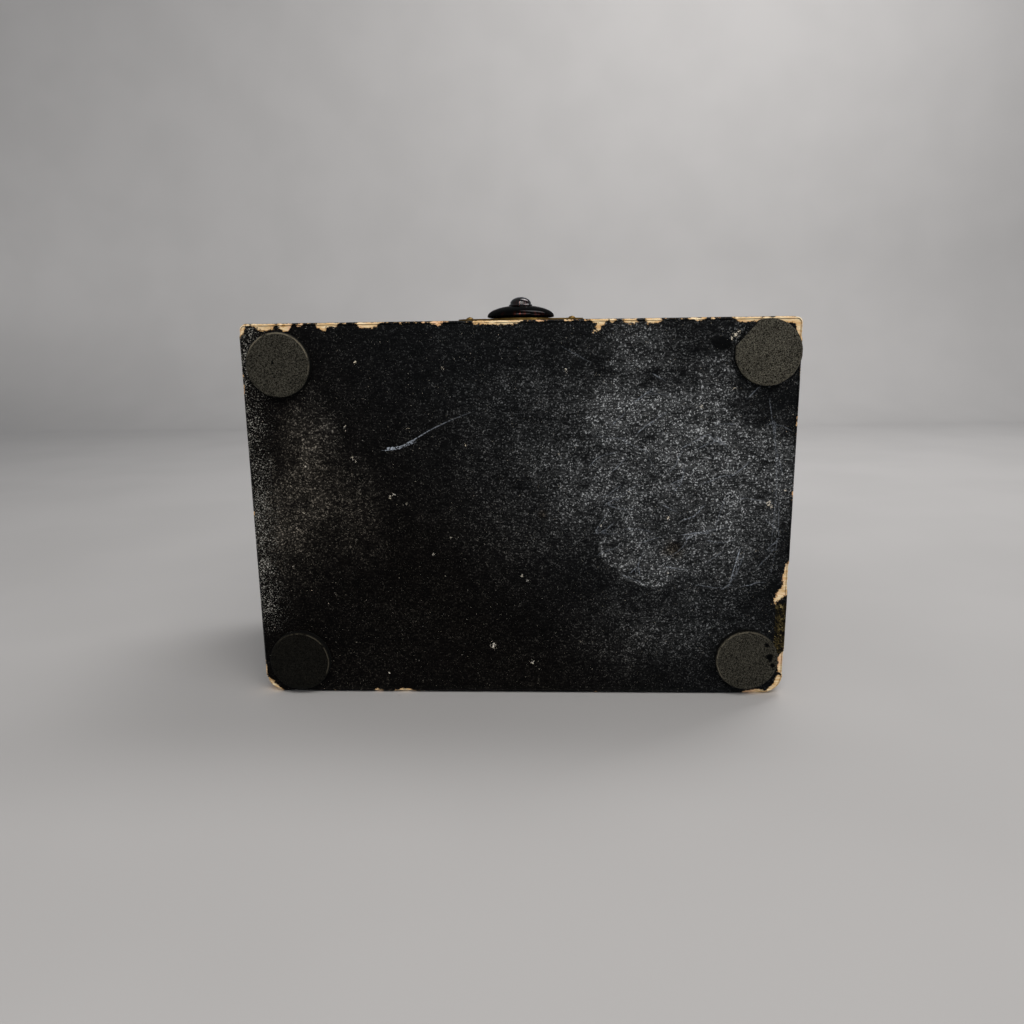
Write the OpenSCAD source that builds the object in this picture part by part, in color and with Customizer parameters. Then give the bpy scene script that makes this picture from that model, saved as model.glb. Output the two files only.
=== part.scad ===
// Small lidded wind-up music box: a black-painted wooden case on four felt pads, with a turn catch on the
// front, a hinged lid with a mirror, a lined jewel well, and an 18-note cylinder movement under glass.
// The box stands on its pads at z = 0, with the case centred on X and Y, and its front towards -Y.

/* [Case] */
// Width of the case, left to right
case_w = 108; // [106:1:120]
// Depth of the case, front to back
case_d = 76; // [76:1:90]
// Thickness of the wooden walls and lid rails
wall_t = 7; // [7:0.5:8]
// Thickness of the base panel
panel_t = 3; // [3:0.5:4]
// Height of the case walls above the base panel
wall_h = 31; // [31:1:36]
// Radius of the two front corners
front_r = 1.2; // [0.5:0.1:2]
// Radius of the two back corners
back_r = 3.8; // [2:0.1:5]

/* [Lid] */
// Gap between the case rim and the lid
lid_gap = 0.3; // [0.2:0.1:0.4]
// Height of the lid rails
lid_rail_h = 11.5; // [11.5:0.5:14]
// Thickness of the lid board
lid_top_t = 4; // [3:0.5:5]
// Length of each hinge
hinge_len = 16; // [14:1:20]
// Distance of each hinge from the middle
hinge_x = 30; // [26:1:32]

/* [Feet] */
// Diameter of a stick-on felt pad
pad_d = 12.7; // [12:0.1:13]
// Thickness of a felt pad
pad_t = 1.6; // [1.2:0.1:2]

/* [Turn catch] */
// Height of the catch spindle above the base panel
catch_h = 22.4; // [22:0.1:22.8]
// Width of the brass back plate
catch_plate_w = 27.6; // [26:0.2:28]
// Height of the brass back plate
catch_plate_h = 14; // [12:0.5:16]
// Diameter of the domed knob
knob_d = 14.7; // [13:0.1:15.5]

/* [Movement] */
// Number of comb teeth and of pin tracks
notes = 18; // [16:1:18]
// Pitch of the comb teeth
note_pitch = 1.05; // [1:0.01:1.05]
// Radius of the pinned cylinder
cyl_r = 6.5; // [6.3:0.1:6.5]

/* [Hidden] */
$fn = 48;
eps = 0.01;

// Levels, from the table up
panel_z = pad_t;
floor_z = panel_z + panel_t;
rim_z = floor_z + wall_h;
lid_z = rim_z + lid_gap;
ceiling_z = lid_z + lid_rail_h;
top_z = ceiling_z + lid_top_t;
in_w = case_w - 2 * wall_t;
in_d = case_d - 2 * wall_t;
in_x = in_w / 2;
in_y = in_d / 2;

// Hinge: the axis lies at the bottom of a V-groove whose two bevels meet when the lid is fully open
bevel_depth = 3;
bevel_angle = 50;
hinge_y = case_d / 2 - bevel_depth;
hinge_z = rim_z + lid_gap / 2;
knuckle_r = 1.5;
pin_r = 0.7;
leaf_t = 0.8;
knuckle_gap = 0.3;
lid_knuckle = 5.4;
hinge_screw_x = 5;
hinge_screw_y = in_y + 1.4;
hinge_screw_r = 0.5;
hinge_head_r = 1;
hinge_head_h = 0.4;
hinge_screw_len = 6;

// Feet, placed by hand: left and right at the front, then at the back
pad_centres = [[-46.3, -30.1], [47.4, -31.3], [-46, 30.7], [46.1, 30.2]];

// Catch
catch_z = floor_z + catch_h;
front_y = -case_d / 2;
inner_front_y = front_y + wall_t;
plate_t = 1;
plate_pin_x = 11.3;
spindle_r = 1.5;
knob_h = 2.7;
knob_lip = 0.55;
knob_gap = 0.25;
knob_back_y = front_y - plate_t - knob_gap;
button_r = 2.6;
button_h = 1.7;
arm_y = inner_front_y - 1.9;
arm_t = 1.4;
arm_len = 8.4;
arm_w = 3.2;
strike_x = [4.2, 8.2];
strike_t = 1;
strike_mid_x = (strike_x[0] + strike_x[1]) / 2;
strike_screw_h = [3, 7];
strike_screw_r = 0.6;
pocket_y = inner_front_y - 3.3;
pocket_x = [-3.4, 9.2];
plate_pin_r = 0.5;
plate_pin_head_r = 0.8;

// Compartments
part_x = [-7, -4.5];
part_top_z = rim_z - 2.6;
rail_t = 1.5;
glass_z = rim_z - 7.1;
glass_t = 2;
fit_gap = 0.1;
lining_t = 1.5;
cushion_t = 2.8;
lining_top_z = part_top_z - 1;

// Lid lining, mirror and peg
lid_lining_t = 0.8;
mirror_x = 34;
mirror_y = [-17, 27];
mirror_t = 1.5;
bead = 2.4;
mirror_z = ceiling_z - lid_lining_t - mirror_t;
peg_at = [-11.2, -22.2];
peg_r = 2;

// Movement: the cylinder lies along Y, the winding arbor stands along Z
bed_t = 2.5;
bed_z = floor_z + bed_t;
bed_x = [-46.2, -9];
bed_y = [-28, 27.5];
cyl_x = -32;
axis_z = 20.2;
cyl_y = [-16.6, 2.4];
gear_m = 0.5;
pitch_arc = PI * gear_m;
add_h = 0.9 * gear_m;
ded_h = 1.3 * gear_m;
arbor_r = 1;
run_gap = 0.04;

// Gear train: barrel crown 36 to pinion 12, wheel 30 to pinion 9, worm wheel 16 to a two-start worm
crown_n = 36;
pinion_n = 12;
wheel_n = 30;
gov_n = 9;
worm_wheel_n = 16;
worm_starts = 2;
crown_r = crown_n * gear_m / 2;
pinion_r = pinion_n * gear_m / 2;
wheel_r = wheel_n * gear_m / 2;
gov_r = gov_n * gear_m / 2;
worm_wheel_r = worm_wheel_n * gear_m / 2;
worm_r = 1.6;
crown_face = 1.2;

// Barrel and winding work
barrel_y = 16;
barrel_bottom_z = bed_z + 0.6;
crown_z = axis_z - pinion_r;
flange_t = 1;
flange_top_z = crown_z - ded_h;
drum_r = 9.2;
drum_wall = 0.8;
cover_t = 1;
core_r = 2;
pivot_r = 1.2;
bridge_z = 19;
bridge_t = 1.8;
bridge_y = [11, 21];
pillar_x = [-44.2, -19.8];
pillar_r = 1.6;
pillar_stub_r = 0.9;
ratchet_z = bridge_z + bridge_t + 0.4;
ratchet_t = 1.4;
ratchet_n = 24;
ratchet_r = 5;
tooth_rise = 0.8;
stub_r = 1.5;
key_z = glass_z + glass_t + 0.6;
key_hub_r = 2.6;
key_hub_h = 6.4;
key_wing_h = 7;
key_wing_w = 18;
key_wing_t = 1.3;
click_pivot = [-25, 15.4];
spring_post = [-21.9, 13.2];

// Governor
gov_x = cyl_x + wheel_r + gov_r;
worm_x = gov_x + worm_wheel_r + worm_r;
worm_y = -23.2;
gov_arbor_r = 0.6;
fan_arbor_r = 0.5;
worm_lead = worm_starts * pitch_arc;
worm_len = 7;
blade_r = 4.1;
blade_z = [8.3, 12.9];
brake_z = [13.4, 14.2];
brake_r = 3;
stop_rod_r = 0.55;
frame_y = [-26.9, -25.6];
frame_x = [-26, -9.4];
column_x = -12.2;
column_y = -24.2;
arm_z = [24.9, 26.4];

// Gear faces along Y
pinion_y = [barrel_y - crown_r - crown_face / 2 - 0.2, barrel_y - crown_r + crown_face / 2 + 0.2];
wheel_y = [-18.7, -17.5];
gov_pinion_y = [-18.9, -17.3];
worm_wheel_y = [worm_y - 0.6, worm_y + 0.6];

// Cylinder brackets, and the screws in their feet and the governor's
foot_t = 1.2;
front_plate_y = [-20.6, -19.3];
rear_plate_y = [3.6, 4.9];
foot_screws = [[-32, -16.4], [-32, 1], [-23.6, -24], [-10.8, -22]];
foot_screw_r = 0.8;
foot_hole_r = 0.9;

// Comb
comb_t = 0.9;
comb_tip_x = cyl_x + cyl_r + 0.75;
comb_root_x = [-15.4, -18.4];
comb_back_x = -9.3;
comb_mid_y = (cyl_y[0] + cyl_y[1]) / 2;
comb_slot = 0.25;
comb_screw_x = -12.3;
comb_screw_y = [comb_mid_y - 5, comb_mid_y + 5];
comb_screw_r = 1;
pin_h = 0.6;
pin_sink = 0.2;
note_pin_r = 0.22;

// Screws that hold the bedplate and the bridge
bedplate_holes = [[-43.5, -25.5], [-43.5, 2], [-12, 25], [-12, 7]];
bedplate_screw_r = 1;
bridge_screw_r = 0.8;
bridge_hole_r = 0.9;

// ---- shared shapes ----

// A rectangle with one radius at the front corners and another at the back
module plan(w, d, rf, rb) {
    translate([-w / 2, -d / 2 + rf]) square([w, d - rf - rb]);
    translate([-w / 2 + rf, -d / 2]) square([w - 2 * rf, rf + 1]);
    translate([-w / 2 + rb, d / 2 - rb - 1]) square([w - 2 * rb, rb + 1]);
    for (s = [-1, 1]) {
        translate([s * (w / 2 - rf), -d / 2 + rf]) circle(r = rf);
        translate([s * (w / 2 - rb), d / 2 - rb]) circle(r = rb);
    }
}

// A box from its low corner to its high corner
module span(lo, hi) {
    translate(lo) cube(hi - lo);
}

// A straight cylinder from one level to another
module post(x, y, z0, z1, r) {
    translate([x, y, z0]) cylinder(r = r, h = z1 - z0);
}

// A straight cylinder along +Y
module rod_y(x, z, y0, y1, r) {
    translate([x, y1, z]) rotate([90, 0, 0]) cylinder(r = r, h = y1 - y0);
}

// A straight cylinder along +X
module rod_x(y, z, x0, x1, r) {
    translate([x0, y, z]) rotate([0, 90, 0]) cylinder(r = r, h = x1 - x0);
}

// A flat outline in X and Z, carried along Y
module plate_y(points, y0, y1) {
    translate([0, y1, 0]) rotate([90, 0, 0]) linear_extrude(y1 - y0) polygon(points);
}

// The V-groove along the back, cut from the case rim and from the lid
module hinge_groove() {
    reach = bevel_depth + 1;
    rise = reach * tan(bevel_angle);
    translate([-case_w, hinge_y, hinge_z]) rotate([90, 0, 90]) linear_extrude(2 * case_w)
        polygon([[0, 0], [reach, -rise], [reach, rise]]);
}

// Room for the hinge knuckles
module knuckle_room() {
    for (s = [-1, 1]) {
        rod_x(hinge_y, hinge_z, s * hinge_x - hinge_len / 2 - 0.2, s * hinge_x + hinge_len / 2 + 0.2,
            knuckle_r + 0.3);
    }
}

// Places a child at both hinges
module at_hinges() {
    for (s = [-1, 1]) {
        translate([s * hinge_x, 0, 0]) children();
    }
}

// Straight-sided gear teeth, drawn round a circle: half-widths h0 at the root and h1 at the tip
function tooth(a, r0, r1, h0, h1) = [for (p = [[r0, -h0], [r1, -h1], [r1, h1], [r0, h0]])
    [p.x * cos(a) - p.y * sin(a), p.x * sin(a) + p.y * cos(a)]];

function gear_outline(n, r, thick, phase) = [for (i = [0 : n - 1])
    for (p = tooth(phase + i * 360 / n, r - ded_h, r + add_h,
        pitch_arc * thick / 2 + ded_h * 0.25, pitch_arc * thick / 2 - add_h * 0.42)) p];

// A spur gear along Y, whose teeth count from the +X side
module gear_y(x, z, y0, y1, n, r, thick, phase, bore) {
    translate([x, y1, z]) rotate([90, 0, 0]) linear_extrude(y1 - y0) difference() {
        polygon(gear_outline(n, r, thick, phase));
        circle(r = bore);
    }
}

// A cheese-head screw: head on top of z, shank below it
module screw(x, y, z, head_r, head_h, shank_r, depth) {
    difference() {
        post(x, y, z, z + head_h, head_r);
        span([x - head_r, y - 0.2, z + head_h / 2], [x + head_r, y + 0.2, z + head_h + 1]);
    }
    post(x, y, z - depth, z + eps, shank_r);
}

// ---- case ----

module base_panel() {
    color([0.06, 0.065, 0.07]) translate([0, 0, panel_z]) linear_extrude(panel_t)
        plan(case_w, case_d, front_r, back_r);
}

module foot_pads() {
    color([0.2, 0.195, 0.18]) for (c = pad_centres) {
        post(c.x, c.y, 0, pad_t, pad_d / 2);
    }
}

// The wall ring, before it is parted into its four boards
module wall_ring() {
    difference() {
        translate([0, 0, floor_z]) linear_extrude(wall_h) plan(case_w, case_d, front_r, back_r);
        span([-in_x, -in_y, 0], [in_x, in_y, top_z]);
        hinge_groove();
    }
}

module front_wall() {
    color([0.05, 0.05, 0.055]) difference() {
        span([-in_x, front_y, floor_z], [in_x, inner_front_y, rim_z]);
        rod_y(0, catch_z, front_y - 1, inner_front_y + 1, spindle_r + 0.05);
        span([pocket_x[0], pocket_y, catch_z - 4.6], [pocket_x[1], inner_front_y + 1, rim_z + 1]);
    }
}

module back_wall() {
    color([0.05, 0.05, 0.055]) difference() {
        span([-in_x, in_y, floor_z], [in_x, case_d / 2, rim_z]);
        hinge_groove();
        knuckle_room();
        at_hinges() span([-hinge_len / 2, in_y - 1, rim_z - leaf_t], [hinge_len / 2, case_d / 2, rim_z + 1]);
    }
}

module left_wall() {
    color([0.05, 0.05, 0.055]) intersection() {
        wall_ring();
        span([-case_w, -case_d, 0], [-in_x, case_d, top_z]);
    }
}

module right_wall() {
    color([0.05, 0.05, 0.055]) intersection() {
        wall_ring();
        span([in_x, -case_d, 0], [case_w, case_d, top_z]);
    }
}

module partition() {
    color([0.62, 0.47, 0.3])
        span([part_x[0], -in_y, floor_z], [part_x[1], in_y, part_top_z]);
}

module cover_rails() {
    low = glass_z - rail_t;
    color([0.62, 0.47, 0.3]) {
        span([-in_x, -in_y, low], [-in_x + rail_t, in_y, glass_z]);
        span([part_x[0] - rail_t, -in_y, low], [part_x[0], in_y, glass_z]);
        span([-in_x + rail_t, -in_y, low], [part_x[0] - rail_t, -in_y + rail_t, glass_z]);
        span([-in_x + rail_t, in_y - rail_t, low], [part_x[0] - rail_t, in_y, glass_z]);
    }
}

module glass_cover() {
    color([0.8, 0.9, 0.88, 0.35]) difference() {
        span([-in_x + fit_gap, -in_y + fit_gap, glass_z],
            [part_x[0] - fit_gap, in_y - fit_gap, glass_z + glass_t]);
        post(cyl_x, barrel_y, 0, top_z, stub_r + 0.8);
        post(peg_at.x, peg_at.y, 0, top_z, stop_rod_r + run_gap);
    }
}

module well_cushion() {
    color([0.45, 0.05, 0.09]) span([part_x[1] + fit_gap, -in_y + fit_gap, floor_z],
        [in_x - fit_gap, in_y - fit_gap, floor_z + cushion_t]);
}

module well_lining() {
    low = floor_z + cushion_t;
    left = part_x[1];
    color([0.45, 0.05, 0.09]) {
        span([left, -in_y, low], [left + lining_t, in_y, lining_top_z]);
        span([in_x - lining_t, -in_y, low], [in_x, in_y, lining_top_z]);
        span([left + lining_t, in_y - lining_t, low], [in_x - lining_t, in_y, lining_top_z]);
        difference() {
            span([left + lining_t, -in_y, low], [in_x - lining_t, -in_y + lining_t, lining_top_z]);
            span([left, -in_y - 1, catch_z - 5], [10, 0, top_z]);
        }
    }
}

// ---- turn catch ----

// Plate outline: a long oval with a round boss behind the knob
module plate_outline() {
    intersection() {
        square([catch_plate_w, catch_plate_h], center = true);
        union() {
            circle(d = catch_plate_h);
            for (s = [-1, 1]) {
                translate([s * plate_pin_x, 0]) circle(r = catch_plate_w / 2 - plate_pin_x);
            }
            square([2 * plate_pin_x, 2 * (catch_plate_w / 2 - plate_pin_x)], center = true);
        }
    }
}

module catch_plate() {
    color([0.55, 0.43, 0.2]) translate([0, front_y, catch_z]) rotate([90, 0, 0])
        linear_extrude(plate_t) difference() {
            plate_outline();
            circle(r = spindle_r + 0.05);
            for (s = [-1, 1]) {
                translate([s * plate_pin_x, 0]) circle(r = plate_pin_r + 0.05);
            }
        }
}

module catch_plate_pins() {
    color([0.6, 0.48, 0.25]) for (s = [-1, 1]) {
        rod_y(s * plate_pin_x, catch_z, front_y - plate_t - 0.5, front_y - plate_t, plate_pin_head_r);
        rod_y(s * plate_pin_x, catch_z, front_y - plate_t - eps, front_y + 4, plate_pin_r);
    }
}

// A shallow domed disc, hollow behind, turned round the spindle
module catch_knob() {
    r = knob_d / 2;
    cap_h = knob_h - knob_lip;
    sphere_r = (r * r + cap_h * cap_h) / (2 * cap_h);
    inner_r = sphere_r - 0.8;
    color([0.12, 0.06, 0.04]) translate([0, knob_back_y, catch_z]) rotate([90, 0, 0]) difference() {
        intersection() {
            translate([0, 0, knob_h - sphere_r]) sphere(r = sphere_r);
            cylinder(r = r, h = knob_h);
        }
        intersection() {
            translate([0, 0, knob_h - sphere_r]) sphere(r = inner_r);
            difference() {
                translate([0, 0, -1]) cylinder(r = r, h = knob_h + 1);
                translate([0, 0, -1]) cylinder(r = 2.6, h = knob_h + 2);
            }
        }
        translate([0, 0, -1]) cylinder(r = spindle_r, h = knob_h + 2);
    }
}

// The round button head on the spindle that carries the knob and the arm
module catch_spindle() {
    head_y = knob_back_y - knob_h;
    sphere_r = (button_r * button_r + button_h * button_h) / (2 * button_h);
    color([0.14, 0.08, 0.05]) {
        translate([0, head_y, catch_z]) rotate([90, 0, 0]) intersection() {
            translate([0, 0, button_h - sphere_r]) sphere(r = sphere_r);
            cylinder(r = button_r, h = button_h);
        }
        rod_y(0, catch_z, head_y - eps, inner_front_y - 0.1, spindle_r);
    }
}

module catch_arm() {
    color([0.7, 0.58, 0.32]) difference() {
        union() {
            rod_y(0, catch_z, arm_y, arm_y + arm_t, 2.4);
            span([-arm_w / 2, arm_y, catch_z], [arm_w / 2, arm_y + arm_t, catch_z + arm_len - arm_w / 2]);
            rod_y(0, catch_z + arm_len - arm_w / 2, arm_y, arm_y + arm_t, arm_w / 2);
        }
        rod_y(0, catch_z, arm_y - 1, arm_y + arm_t + 1, spindle_r);
    }
}

module strike() {
    low = catch_z - arm_w / 2 - 1.3;
    color([0.7, 0.58, 0.32]) {
        difference() {
            span([strike_x[0], inner_front_y, low], [strike_x[1], inner_front_y + strike_t, lid_z + 9]);
            for (h = strike_screw_h) {
                rod_y(strike_mid_x, lid_z + h, inner_front_y - 1, inner_front_y + 3, strike_screw_r + 0.05);
            }
        }
        span([strike_x[0], inner_front_y - 2, low], [strike_x[1], inner_front_y + eps, low + 1]);
    }
}

module strike_screws() {
    color([0.7, 0.58, 0.32]) for (h = strike_screw_h) {
        translate([strike_mid_x, inner_front_y + strike_t, lid_z + h]) rotate([-90, 0, 0])
            screw(0, 0, 0, 1.2, 0.7, strike_screw_r, 5);
    }
}

// ---- lid ----

module lid_top() {
    color([0.05, 0.05, 0.055]) translate([0, 0, ceiling_z]) linear_extrude(lid_top_t)
        plan(case_w, case_d, front_r, back_r);
}

module lid_ring() {
    difference() {
        translate([0, 0, lid_z]) linear_extrude(lid_rail_h) plan(case_w, case_d, front_r, back_r);
        span([-in_x, -in_y, 0], [in_x, in_y, top_z]);
        hinge_groove();
    }
}

module lid_front_rail() {
    color([0.05, 0.05, 0.055]) span([-in_x, front_y, lid_z], [in_x, inner_front_y, ceiling_z]);
}

module lid_back_rail() {
    color([0.05, 0.05, 0.055]) difference() {
        span([-in_x, in_y, lid_z], [in_x, case_d / 2, ceiling_z]);
        hinge_groove();
        knuckle_room();
        at_hinges() span([-hinge_len / 2, in_y - 1, 0], [hinge_len / 2, case_d / 2, lid_z + leaf_t]);
    }
}

module lid_side_rails() {
    color([0.05, 0.05, 0.055]) difference() {
        lid_ring();
        span([-in_x, -case_d, 0], [in_x, case_d, top_z]);
    }
}

module lid_lining() {
    color([0.45, 0.05, 0.09]) span([-in_x + fit_gap, -in_y + fit_gap, ceiling_z - lid_lining_t],
        [in_x - fit_gap, in_y - fit_gap, ceiling_z]);
}

module lid_mirror() {
    color([0.75, 0.8, 0.82]) span([-mirror_x, mirror_y[0], mirror_z],
        [mirror_x, mirror_y[1], mirror_z + mirror_t]);
}

module mirror_frame() {
    low = mirror_z - 0.4;
    high = mirror_z + mirror_t;
    color([0.7, 0.58, 0.32]) difference() {
        span([-mirror_x - bead, mirror_y[0] - bead, low], [mirror_x + bead, mirror_y[1] + bead, high]);
        span([-mirror_x, mirror_y[0], mirror_z - eps], [mirror_x, mirror_y[1], high + 1]);
        span([-mirror_x + 1, mirror_y[0] + 1, low - 1], [mirror_x - 1, mirror_y[1] - 1, high + 1]);
    }
}

// ---- hinges ----

// One hinge's two case knuckles and leaf, or its middle lid knuckle and leaf
module case_hinge_leaves() {
    half = hinge_len / 2;
    color([0.7, 0.58, 0.32]) at_hinges() difference() {
        union() {
            span([-half, in_y + 0.1, rim_z - leaf_t], [half, hinge_y, rim_z]);
            for (x = [-half, lid_knuckle / 2 + knuckle_gap]) {
                rod_x(hinge_y, hinge_z, x, x + half - lid_knuckle / 2 - knuckle_gap, knuckle_r);
            }
        }
        rod_x(hinge_y, hinge_z, -half - 1, half + 1, pin_r);
        rod_x(hinge_y, hinge_z, -lid_knuckle / 2 - knuckle_gap, lid_knuckle / 2 + knuckle_gap,
            knuckle_r + 0.2);
        for (s = [-1, 1]) {
            post(s * hinge_screw_x, hinge_screw_y, rim_z - leaf_t - 1, rim_z + 1, hinge_screw_r + 0.05);
            post(s * hinge_screw_x, hinge_screw_y, rim_z - hinge_head_h, rim_z + 1, hinge_head_r + 0.05);
        }
        span([-half - 1, 0, hinge_z - 0.05], [-lid_knuckle / 2 - knuckle_gap, hinge_y - knuckle_r, top_z]);
    }
}

module lid_hinge_leaves() {
    half = hinge_len / 2;
    color([0.7, 0.58, 0.32]) at_hinges() difference() {
        union() {
            span([-half, in_y + 0.1, lid_z], [half, hinge_y, lid_z + leaf_t]);
            rod_x(hinge_y, hinge_z, -lid_knuckle / 2, lid_knuckle / 2, knuckle_r);
        }
        rod_x(hinge_y, hinge_z, -half - 1, half + 1, pin_r + 0.06);
        for (x = [-half - 1, lid_knuckle / 2]) {
            rod_x(hinge_y, hinge_z, x, x + half - lid_knuckle / 2 + 1, knuckle_r + 0.2);
        }
        for (s = [-1, 1]) {
            post(s * hinge_screw_x, hinge_screw_y, lid_z - 1, lid_z + leaf_t + 1, hinge_screw_r + 0.05);
            post(s * hinge_screw_x, hinge_screw_y, lid_z - 1, lid_z + hinge_head_h, hinge_head_r + 0.05);
        }
    }
}

module hinge_pins() {
    color([0.6, 0.6, 0.62]) at_hinges()
        rod_x(hinge_y, hinge_z, -hinge_len / 2, hinge_len / 2, pin_r);
}

module case_hinge_screws() {
    color([0.7, 0.58, 0.32]) at_hinges() for (s = [-1, 1]) {
        post(s * hinge_screw_x, hinge_screw_y, rim_z - hinge_head_h, rim_z - 0.05, hinge_head_r);
        post(s * hinge_screw_x, hinge_screw_y, rim_z - hinge_screw_len, rim_z - 0.3, hinge_screw_r);
    }
}

module lid_hinge_screws() {
    color([0.7, 0.58, 0.32]) at_hinges() for (s = [-1, 1]) {
        post(s * hinge_screw_x, hinge_screw_y, lid_z + 0.05, lid_z + hinge_head_h, hinge_head_r);
        post(s * hinge_screw_x, hinge_screw_y, lid_z + 0.3, lid_z + hinge_screw_len, hinge_screw_r);
    }
}

module lid_peg() {
    color([0.62, 0.47, 0.3]) post(peg_at.x, peg_at.y, lid_z + 0.4, ceiling_z - lid_lining_t, peg_r);
}

// ---- movement: fixed pieces ----

module bedplate() {
    comb_bed_x = [-15.2, comb_back_x];
    color([0.66, 0.55, 0.32]) difference() {
        union() {
            span([bed_x[0], bed_y[0], floor_z], [bed_x[1], bed_y[1], bed_z]);
            span([comb_bed_x[0], cyl_y[0] - 0.3, floor_z],
                [comb_bed_x[1], cyl_y[1] + 0.3, axis_z - comb_t / 2]);
        }
        post(cyl_x, barrel_y, floor_z + 0.6, top_z, pivot_r + run_gap);
        post(worm_x, worm_y, floor_z + 1, top_z, fan_arbor_r + run_gap);
        for (c = bedplate_holes) {
            post(c.x, c.y, 0, top_z, bedplate_screw_r + 0.1);
        }
        for (c = foot_screws) {
            post(c.x, c.y, floor_z + 0.6, top_z, foot_screw_r);
        }
        for (x = pillar_x) {
            post(x, barrel_y, floor_z + 0.6, top_z, pillar_stub_r);
        }
        for (y = comb_screw_y) {
            post(comb_screw_x, y, axis_z - 5, top_z, comb_screw_r);
        }
    }
}

module bedplate_screws() {
    color([0.75, 0.75, 0.77]) for (c = bedplate_holes) {
        screw(c.x, c.y, bed_z, 2, 1.1, bedplate_screw_r, bed_t + 2);
    }
}

// A steel comb: the bass teeth are the long ones
module comb() {
    half = notes * note_pitch / 2;
    z0 = axis_z - comb_t / 2;
    back = [comb_back_x, comb_mid_y - half];
    color([0.62, 0.63, 0.66]) difference() {
        translate([0, 0, z0]) linear_extrude(comb_t) difference() {
            translate([comb_tip_x, back.y]) square([comb_back_x - comb_tip_x, 2 * half]);
            for (i = [0 : notes]) {
                root = comb_root_x[0] + (comb_root_x[1] - comb_root_x[0]) * i / notes;
                translate([comb_tip_x - 1, back.y + i * note_pitch - comb_slot / 2])
                    square([root - comb_tip_x + 1, comb_slot]);
            }
        }
        for (y = comb_screw_y) {
            post(comb_screw_x, y, 0, top_z, comb_screw_r + 0.1);
        }
    }
}

module comb_screws() {
    color([0.75, 0.75, 0.77]) for (y = comb_screw_y) {
        screw(comb_screw_x, y, axis_z + comb_t / 2, 2, 1.2, comb_screw_r, 4);
    }
}

module cylinder_front_bracket() {
    color([0.66, 0.55, 0.32]) difference() {
        union() {
            plate_y([[-35.5, bed_z], [-27, bed_z], [-27, 13], [-19.7, 16.5], [-19.7, 22.8], [-21, 24],
                [-34, 24], [-35.5, 22.5]], front_plate_y[0], front_plate_y[1]);
            span([-35.5, front_plate_y[1] - eps, bed_z], [-28.5, -14.4, bed_z + foot_t]);
        }
        rod_y(cyl_x, axis_z, -30, 0, arbor_r + run_gap);
        rod_y(gov_x, axis_z, -30, 0, gov_arbor_r + run_gap);
        post(foot_screws[0].x, foot_screws[0].y, 0, axis_z, foot_hole_r);
    }
}

module cylinder_rear_bracket() {
    color([0.66, 0.55, 0.32]) difference() {
        union() {
            plate_y([[-35.5, bed_z], [-28.5, bed_z], [-28.5, 22.5], [-30, 24], [-34, 24], [-35.5, 22.5]],
                rear_plate_y[0], rear_plate_y[1]);
            span([-35.5, -1, bed_z], [-28.5, rear_plate_y[0] + eps, bed_z + foot_t]);
        }
        rod_y(cyl_x, axis_z, 0, 10, arbor_r + run_gap);
        post(foot_screws[1].x, foot_screws[1].y, 0, axis_z, foot_hole_r);
    }
}

module bracket_screws() {
    color([0.75, 0.75, 0.77]) for (c = foot_screws) {
        screw(c.x, c.y, bed_z + foot_t, 1.3, 0.9, foot_screw_r, foot_t + 1.8);
    }
}

module bridge_pillars() {
    color([0.7, 0.58, 0.32]) for (x = pillar_x) {
        difference() {
            union() {
                post(x, barrel_y, bed_z, bridge_z, pillar_r);
                post(x, barrel_y, bed_z - 1.8, bed_z + eps, pillar_stub_r);
            }
            post(x, barrel_y, bridge_z - 4, bridge_z + 1, bridge_screw_r);
        }
    }
}

module barrel_bridge() {
    color([0.7, 0.58, 0.32]) difference() {
        translate([0, 0, bridge_z]) linear_extrude(bridge_t) union() {
            translate([pillar_x[0], bridge_y[0] + 2]) square([pillar_x[1] - pillar_x[0], 6]);
            for (x = pillar_x) {
                translate([x, barrel_y]) circle(r = 2.5);
            }
            translate([cyl_x - 6, bridge_y[0]]) square([17.4, bridge_y[1] - bridge_y[0]]);
        }
        post(cyl_x, barrel_y, 0, top_z, core_r + run_gap);
        for (x = pillar_x) {
            post(x, barrel_y, 0, top_z, bridge_hole_r);
        }
        post(click_pivot.x, click_pivot.y, 0, top_z, 0.6);
        post(spring_post.x, spring_post.y, 0, top_z, 0.5);
    }
}

module bridge_screws() {
    color([0.75, 0.75, 0.77]) for (x = pillar_x) {
        screw(x, barrel_y, bridge_z + bridge_t, 1.6, 0.9, bridge_screw_r, bridge_t + 3);
    }
}

// A portal over the fan: left plate, top bar, right column and the arm over the fan arbor
module governor_frame() {
    color([0.66, 0.55, 0.32]) difference() {
        union() {
            span([frame_x[0], frame_y[0], bed_z], [frame_x[0] + 4.8, frame_y[1], arm_z[1]]);
            span([frame_x[0], frame_y[0], arm_z[0] - 1], [frame_x[1], frame_y[1], arm_z[1]]);
            span([column_x, frame_y[0], bed_z], [frame_x[1], column_y, arm_z[1]]);
            span([worm_x - 2.15, frame_y[0], arm_z[0]], [frame_x[1], worm_y + 2.4, arm_z[1]]);
            span([frame_x[0], frame_y[1] - eps, bed_z], [frame_x[0] + 4.6, -22.4, bed_z + foot_t]);
            span([column_x, column_y - eps, bed_z], [frame_x[1], column_y + 4, bed_z + foot_t]);
        }
        rod_y(gov_x, axis_z, -30, -20, gov_arbor_r + run_gap);
        post(worm_x, worm_y, 20, top_z, fan_arbor_r + run_gap);
        post(peg_at.x, peg_at.y, 20, top_z, stop_rod_r + run_gap);
        for (i = [2, 3]) {
            post(foot_screws[i].x, foot_screws[i].y, 0, axis_z, foot_hole_r);
        }
    }
}

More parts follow.
